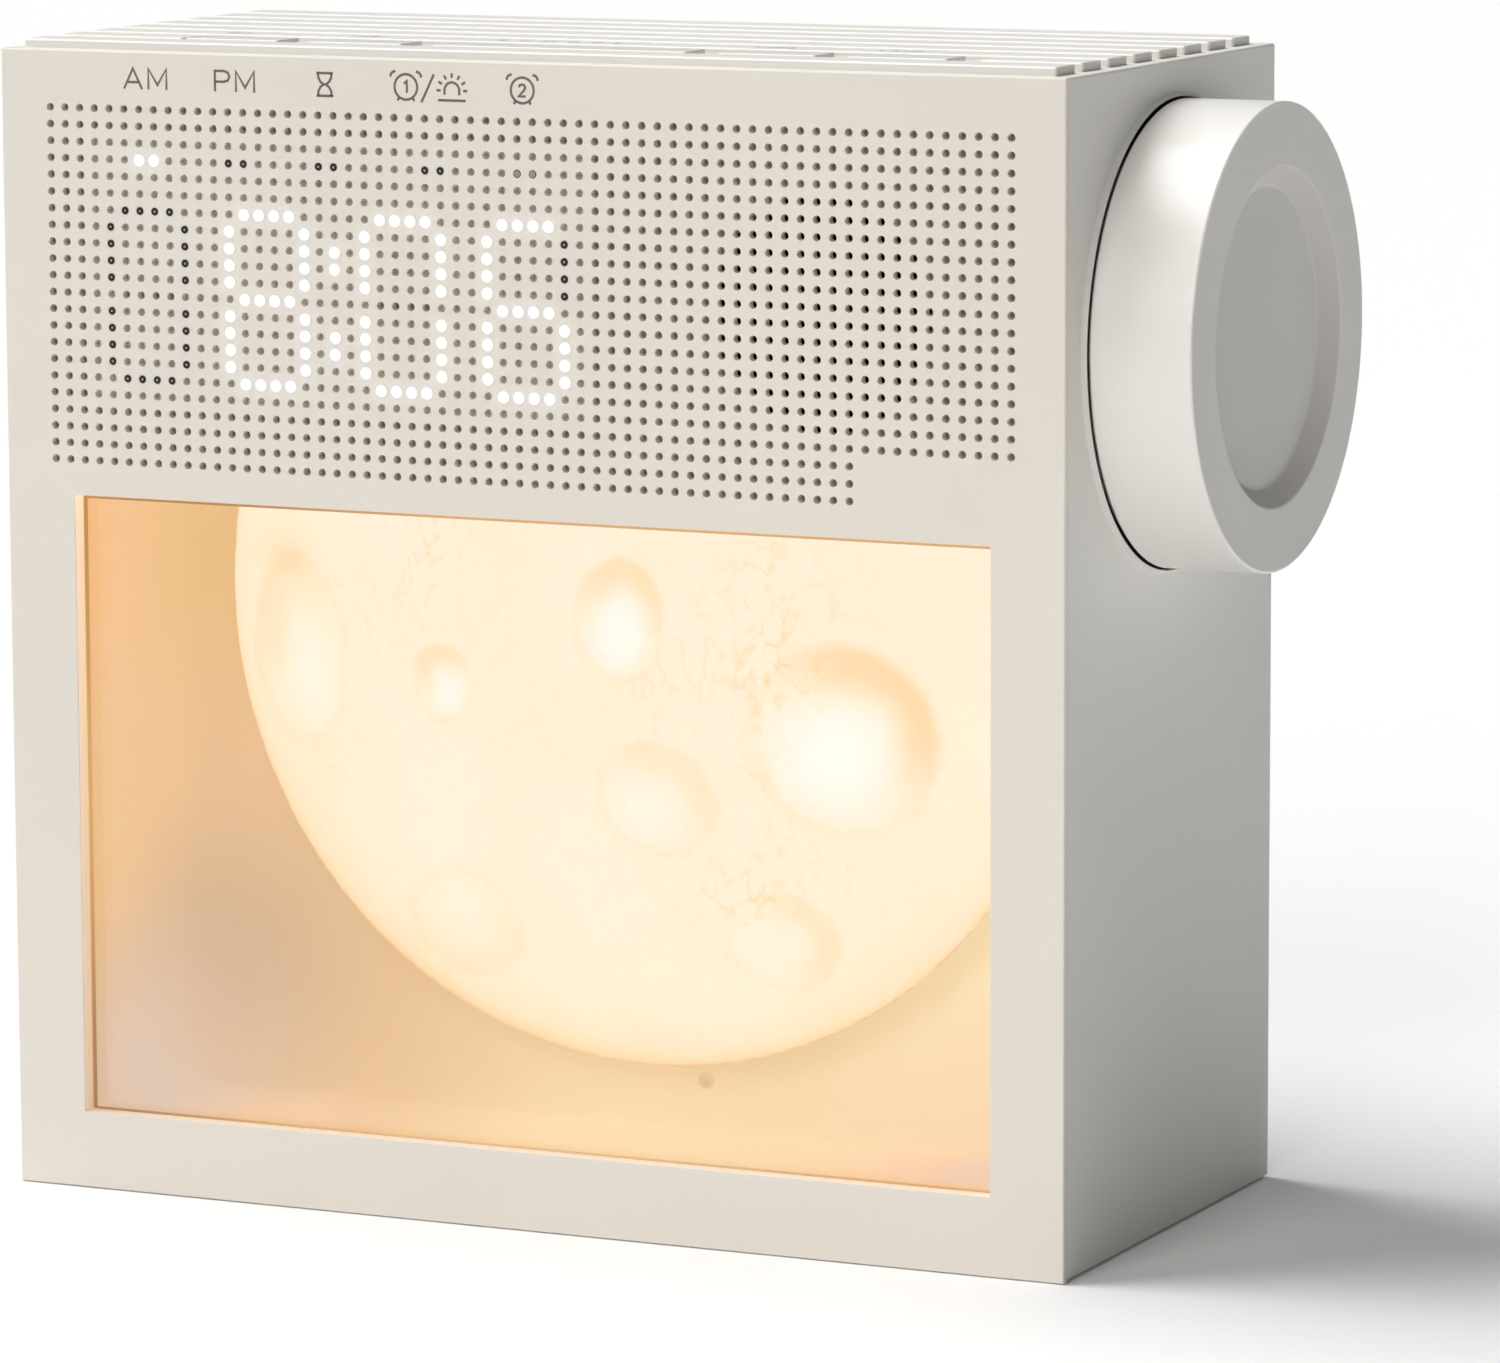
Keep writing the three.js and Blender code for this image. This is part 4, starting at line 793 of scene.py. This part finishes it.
# rings of a ball's cap, cut off at the ceiling; each crater sinks its bowl, raises a lip and shades its wall
def moonRelief(s):
    ceiling = moonHigh[2] - moonZ
    turn = np.linspace(0, 2 * math.pi, s["turns"], endpoint=False)
    reach = np.minimum(moonRadius, ceiling / np.maximum(np.sin(turn), tiny))
    share = np.linspace(0, 1, s["rings"])[:, None]
    x, up = share * reach * np.cos(turn), share * reach * np.sin(turn)
    ball = (moonRadius ** 2 + s["rise"] ** 2) / (2 * s["rise"])
    r = np.hypot(x, up)
    y = moonBackY - s["rise"] + ball - np.sqrt(ball ** 2 - r ** 2)
    ragged = 1 + s["ragged"] * lumps(x, up, s["raggedMm"], 3, s["raggedSeed"])
    rough = lumps(x, up, s["roughMm"], 5, s["seed"])
    glow = s["glow"] + s["roughGlow"] * rough
    # each crater's wall is darkened on the side its way points to and its floor's light is shifted to the
    # other side: painted shade and painted light
    for across, high, wide, tall, depth, bright, shade, way in craters:
        dx, dz = (x - across) / wide, (up - high) / tall
        away = np.hypot(dx, dz)
        d = away * ragged
        wayX, wayZ = math.cos(math.radians(way)), math.sin(math.radians(way))
        facing = (dx * wayX + dz * wayZ) / np.maximum(away, bowl["leastAway"])
        y += depth * (fall(d, *bowl["sunk"]) - bowl["lipRise"] * crest(d, *bowl["lip"]))
        wall = (1 - fall(d, *bowl["floor"])) * easeIn(bowl["sideBase"] + bowl["sideTurn"] * facing)
        off = np.hypot(dx + bowl["lightShift"] * wayX, dz + bowl["lightShift"] * wayZ)
        light = bright * np.exp(-off ** 2 / bowl["lightWide"])
        glow += fall(d, *bowl["shaded"]) * (light - shade * wall) - bowl["rimDark"] * crest(d, *bowl["rim"])
    inward = moonRadius - r
    y += s["rough"] * rough * np.clip(inward / s["smoothEdge"], 0, 1)
    leftward, downward = np.clip(0.5 - x / moonRadius, 0, 1), np.clip(-up / moonRadius, 0, 1)
    for side, weight, away in (("edge", 1, inward), ("top", 1, ceiling - up), ("left", leftward, inward),
                               ("low", downward, inward)):
        much, fadeMm = dimmed[side]
        glow -= weight * much * np.exp(-away / fadeMm)
    for across, high, wide, tall, much in shadePatches:
        glow -= much * np.exp(-((x - across) / wide) ** 2 - ((up - high) / tall) ** 2)
    creased = sum(much * np.exp(-((x - across) ** 2 + (up - high) ** 2) / far ** 2)
                  for across, high, far, much in creases)
    points = np.stack([x, y, up + moonZ], -1)
    skirt = points[-1:].copy()
    skirt[..., 1] = moonBackY
    points = np.concatenate([points, skirt])
    glow = np.concatenate([glow, glow[-1:] - s["skirtDark"]])
    creased = np.concatenate([creased, creased[-1:]])
    return (points.reshape(-1, 3), gridFaces(s["rings"] + 1, s["turns"], wrap=True)), glow, creased


moonShape, moonGlow, moonCreases = moonRelief(moon)
makePiece("moonRelief", moonShape, moonMaterial, hides=["moon_dome"], slot="moon", glow=moonGlow,
          creased=moonCreases)

# light sensor: a small lens low on the tray's back, glowing with painted lamp light like the tray
sensor = {"x": 8.5, "z": 13.8, "radius": 1.25, "height": 0.5, "foot": 0.1}
sensorTurn = np.radians(np.linspace(0, 90, 7))
sensorRows = [(sensor["radius"], moonBackY + sensor["foot"])]
for t in sensorTurn:
    sensorRows.append((sensor["radius"] * math.cos(t), moonBackY - sensor["height"] * math.sin(t)))
sensorShape = turned(sensorRows, "y", (sensor["x"], 0, sensor["z"]), 24)
makePiece("lightSensor", sensorShape, sensorMaterial, slot="black")
print("moon made")


# discs over the diodes: rings round each hole's centre, the first ring being the centre itself
def discs(dots, radii, y, sides):
    turn = np.linspace(0, 2 * math.pi, sides, endpoint=False)
    x = holeX[dots[:, 0]][:, None, None] + np.array(radii)[:, None] * np.cos(turn)
    z = holeZ[::-1][dots[:, 1]][:, None, None] + np.array(radii)[:, None] * np.sin(turn)
    points = np.stack([x, np.full_like(x, y), z], -1)
    faces = gridFaces(len(radii), sides, wrap=True)[:, ::-1]
    starts = np.arange(len(dots)) * len(radii) * sides
    return points.reshape(-1, 3), (faces[None] + starts[:, None, None]).reshape(-1, 4)


litShape = discs(lit, display["litRadii"], frontY - display["litProud"], display["litSides"])
litGlow = np.tile(np.repeat(display["litGlow"], display["litSides"]), len(lit))
makePiece("litDots", litShape, diodeWhite, slot="white", glow=litGlow, turnOut=False)
lensY, glintY = frontY - display["lensProud"], frontY - display["glintProud"]
for name, dots, radius, y, sides, material, slot in (
        ("darkDots", dark, display["darkRadius"], lensY, 12, smokedLens, "black"),
        ("darkGlints", dark, display["glintRadius"], glintY, 8, glintGrey, "white"),
        ("cloudedRings", clouded, display["darkRadius"], lensY, 12, smokedLens, "black"),
        ("cloudedGlints", clouded, display["cloudedRadius"], glintY, 12, glintGrey, "white")):
    makePiece(name, discs(dots, [0, radius], y, sides), material, slot=slot, turnOut=False)
print("display made")

# printed marks: strokes of one width along drawn paths, mitred at their bends
marks = {"stroke": 0.33, "letter": 2.65, "number": 1.5, "gap": 0.95, "drop": 3.5, "proud": 0.012,
         "deckStroke": 0.16, "deckY": -13.2, "dotStroke": 0.3}


def arcPath(x, y, radius, start=0, stop=360, steps=24):  # points on a circle from start to stop degrees
    turn = np.radians(np.linspace(start, stop, steps + 1))
    return np.stack([x + radius * np.cos(turn), y + radius * np.sin(turn)], 1)


glyphs = {  # drawn in a box one letter high
    "A": [[(0, 0), (0.5, 1), (1, 0)], [(0.2, 0.33), (0.8, 0.33)]],
    "D": [[(0, 0), (0, 1), (0.35, 1), (0.65, 0.85), (0.75, 0.5), (0.65, 0.15), (0.35, 0), (0, 0)]],
    "E": [[(0.6, 1), (0, 1), (0, 0), (0.6, 0)], [(0, 0.5), (0.5, 0.5)]],
    "I": [[(0.05, 0), (0.05, 1)]],
    "L": [[(0, 1), (0, 0), (0.6, 0)]],
    "M": [[(0, 0), (0, 1), (0.5, 0.22), (1, 1), (1, 0)]],
    "N": [[(0, 0), (0, 1), (0.75, 0), (0.75, 1)]],
    "O": [arcPath(0.5, 0.5, 0.5)],
    "P": [[(0, 0), (0, 1), (0.5, 1), (0.72, 0.93), (0.8, 0.74), (0.72, 0.55), (0.5, 0.48), (0, 0.48)]],
    "S": [[(0.6, 0.85), (0.45, 1), (0.15, 1), (0, 0.85), (0, 0.65), (0.6, 0.35), (0.6, 0.15), (0.45, 0),
           (0.15, 0), (0, 0.15)]],
    "T": [[(0, 1), (0.7, 1)], [(0.35, 1), (0.35, 0)]],
    "Z": [[(0, 1), (0.7, 1), (0, 0), (0.7, 0)]],
    "1": [[(0.05, 0.76), (0.32, 1), (0.32, 0)]],
    "2": [[(0, 0.76), (0.1, 0.94), (0.3, 1), (0.52, 0.93), (0.6, 0.74), (0.5, 0.52), (0, 0), (0.64, 0)]],
}
waist = np.array([
    (0.95, 1.45), (0.92, 0.85), (0.6, 0.3), (0.14, 0), (0.6, -0.3), (0.92, -0.85), (0.95, -1.45)])
hourglass = [[(-1.2, 1.45), (1.2, 1.45)], [(-1.2, -1.45), (1.2, -1.45)], waist, waist * (-1, 1)]
bell = np.array([(2.2, 1.25), (2.12, 1.6), (1.85, 1.88), (1.45, 1.98)])
leg = np.array([(0.95, -1.35), (1.2, -1.75)])
clockFace = [arcPath(0, 0, 1.62), bell, bell * (-1, 1), leg, leg * (-1, 1)]
slash = [[(-0.9, -1.9), (0.9, 1.7)]]
sunrise = [np.vstack([(1.05, -0.55), arcPath(0, 0, 1.05, 0, 180, 12), (-1.05, -0.55)]),
           [(-1.95, -1.25), (1.95, -1.25)]]
sunrise += [arcPath(0, 0, 1, a, a, 1) * [[1.6], [2.2]] for a in range(0, 181, 30)]
dot = [[(-0.15, 0), (0.15, 0)]]


# both sides of a path, half a stroke away along the mean normal of the two steps that meet there
def strokeStrip(path, width):
    path = np.asarray(path, float)
    steps = np.diff(path, axis=0)
    steps /= np.linalg.norm(steps, axis=1)[:, None]
    closed = np.allclose(path[0], path[-1])
    before = np.vstack([steps[-1] if closed else steps[0], steps])
    after = np.vstack([steps, steps[0] if closed else steps[-1]])
    normals = np.stack([-(before + after)[:, 1], (before + after)[:, 0]], 1)
    normals /= np.linalg.norm(normals, axis=1)[:, None]
    square = np.stack([-before[:, 1], before[:, 0]], 1)
    normals /= np.maximum((normals * square).sum(1), 0.5)[:, None]
    points = np.concatenate([path + normals * width / 2, path - normals * width / 2])
    return points, gridFaces(2, len(path))


# drawn paths scaled and set down on the front, or on the deck where level is given
def inked(paths, at, scale, width, level=None):
    shapes = []
    for path in paths:
        points, faces = strokeStrip(np.asarray(path) * scale + np.asarray(at), width)
        if level is None:
            shapes.append((np.insert(points, 1, frontY - marks["proud"], 1), faces))
        else:
            shapes.append((np.insert(points, 2, level, 1), faces[:, ::-1]))
    return shapes


# letters of a word side by side, centred on a place
def inkedWord(word, middle, height, gap, width, level=None):
    wide = {letter: max(x for path in glyphs[letter] for x, y in path) for letter in word}
    total = sum(wide[letter] for letter in word) * height + gap * (len(word) - 1)
    x, shapes = middle[0] - total / 2, []
    for letter in word:
        shapes += inked(glyphs[letter], (x, middle[1] - height / 2), height, width, level)
        x += wide[letter] * height + gap
    return shapes


# what is printed on the front, over which sign's dots, how far across and up from there, and its size
frontMarks = []
for what, title, across, up, size in (
        ("AM", "am", 0, 0, marks["letter"]), ("PM", "pm", 0, 0, marks["letter"]),
        (hourglass, "timer", 0, 0, 1), (clockFace, "first", -3.65, 0, 1),
        ("1", "first", -3.75, 0, marks["number"]), (slash, "first", -0.55, 0, 1),
        (sunrise, "first", 2.9, -0.3, 1), (clockFace, "second", -0.25, 0, 1),
        ("2", "second", -0.25, 0, marks["number"])):
    column = signColumns[title]
    place = (holeX[column] + holeX[column + 1]) / 2 + across, topZ - marks["drop"] + up
    if isinstance(what, str):
        frontMarks += inkedWord(what, place, size, marks["gap"], marks["stroke"])
    else:
        frontMarks += inked(what, place, size, marks["stroke"])
makePiece("frontMarks", joined(*frontMarks), padInk, slot="keys", turnOut=False)

# words on the rib behind the keys, and two dots on either side of the long one
deckMarks = []
deckZ = crownZ + marks["proud"]
for word, x, height, gap in (("SET", -51.5, 1.2, 0.5), ("TIME", -33.0, 1.2, 0.5), ("SNOOZE", -4.5, 1.4, 2.2),
                             ("MODE", 26.0, 1.2, 0.5), ("LAMP", 43.5, 1.2, 0.5)):
    deckMarks += inkedWord(word, (x, marks["deckY"]), height, gap, marks["deckStroke"], deckZ)
for x in (-19.7, -17.0, 8.0, 10.8):
    deckMarks += inked(dot, (x, marks["deckY"]), 1, marks["dotStroke"], deckZ)
makePiece("deckMarks", joined(*deckMarks), padInk, slot="keys", turnOut=False)
print("marks made")

# cross slots in the rear screws' heads, as thin black bars: painted shade in their recesses
crossSlot = {"reach": 1.2, "half": 0.22, "corner": 0.05, "depth": 0.1, "proud": 0.02}
crosses = []
for low, high in [span(f"rear_screw_{i}") for i in range(1, 5)]:
    x, y, z = (low[0] + high[0]) / 2, high[1], (low[2] + high[2]) / 2
    rows = [(0, y - crossSlot["depth"]), (0, y + crossSlot["proud"])]
    for a, b in ((crossSlot["reach"], crossSlot["half"]), (crossSlot["half"], crossSlot["reach"])):
        crosses.append(bar(x - a, x + a, z - b, z + b, crossSlot["corner"], rows, "y"))
makePiece("screwSlotShade", joined(*crosses), blackFeltAndShade, slot="black")

# finishes of the nodes that keep their CAD shape
nodeFinishes = (
    (shellPlastic, "rear_cover"),
    (pulp, "speaker_cone"),
    (rubber, "base_pad speaker_gasket speaker_surround"),
    (solderMask, "display_board key_board main_board encoder_board"),
    (whiteNylon, "display_mask moon_led_board knob_hub encoder_rotor key_plunger"),
    (blackNylon, "speaker_frame key_switch control_chip cell_holder"),
    (platedSteel, "speaker_magnet encoder_shaft encoder_body encoder_washer encoder_nut usb_socket"),
    (platedSteel, "backup_cell key_board_screw main_board_screw rear_screw"),
)
finishOf = {name: finish for finish, names in nodeFinishes for name in names.split()}
for name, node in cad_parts.items():
    finish = finishOf.get(name.rstrip("_0123456789"))
    if finish:
        node.data.materials.clear()
        node.data.materials.append(finish)
print("finishes of the CAD nodes set")

# floor, light and camera; the floor is lifted to white where the camera, a gloss or the pane looks
studio = {"floorHalf": 8.0, "floorLift": 0.03, "worldColour": (0.97, 0.985, 1.0, 1.0), "worldStrength": 0.1}
floorMaterial, tree, _ = startMaterial("paperSweep")
rays = put(tree, "LightPath").outputs
seen = worked(tree, "MAXIMUM", rays["Is Camera Ray"], rays["Is Glossy Ray"])
seen = worked(tree, "MAXIMUM", seen, rays["Is Transmission Ray"])
endMaterial(floorMaterial, {
    "Base Color": toLinear("#f4f4f4"), "Roughness": 0.9, "Emission Color": toLinear("#ffffff"),
    "Emission Strength": worked(tree, "MULTIPLY", seen, studio["floorLift"])})
half = studio["floorHalf"]
floorMesh = bpy.data.meshes.new("floor")
corners = [(-half, -half, 0), (half, -half, 0), (half, half, 0), (-half, half, 0)]
floorMesh.from_pydata(corners, [], [(0, 1, 2, 3)])
floorMesh.materials.append(floorMaterial)
floor = addObject("floor", floorMesh)

world = bpy.data.worlds.new("studio")
bpy.context.scene.world = world
world.use_nodes = True
world.node_tree.nodes.clear()
sky = put(world.node_tree, "Background", {
    "Color": studio["worldColour"], "Strength": studio["worldStrength"]})
put(world.node_tree, "OutputWorld", {"Surface": sky.outputs["Background"]})

# broad light from the left that throws the shadow to the right, and a wide card in front
for name, way, energy, angle, colour in (("window", (-0.552, -0.07, 0.831), 3.17, 0.8, (1.0, 1.0, 1.0)),
                                         ("card", (-0.03, -0.85, 0.526), 1.04, 0.6, (1.0, 0.97, 0.94))):
    lamp = bpy.data.lights.new(name, "SUN")
    lamp.energy = energy
    lamp.angle = angle
    lamp.color = colour
    addObject(name, lamp).matrix_world = Vector(way).to_track_quat("Z", "Y").to_matrix().to_4x4()

shot = {"place": (437.005, -897.397, 216.4), "yawDeg": 25.1465, "pitchDeg": 8.53, "rollDeg": 0.2203,
        "lens": 184.24, "sensorWidth": 36, "clipStart": 0.05}
yaw, pitch, roll = (math.radians(shot[key]) for key in ("yawDeg", "pitchDeg", "rollDeg"))
camera = bpy.data.cameras.new("camera")
camera.lens = shot["lens"]
camera.sensor_width = shot["sensorWidth"]
camera.sensor_fit = "HORIZONTAL"
camera.clip_start = shot["clipStart"]
cameraObject = addObject("camera", camera)
cameraObject.matrix_world = (
    Matrix.Translation(Vector(shot["place"]) * mm) @ Matrix.Rotation(yaw, 4, "Z")
    @ Matrix.Rotation(math.pi / 2 - pitch, 4, "X") @ Matrix.Rotation(-roll, 4, "Z"))
bpy.context.scene.camera = cameraObject
bpy.context.scene.view_settings.view_transform = "Standard"
print("floor, light and camera set")
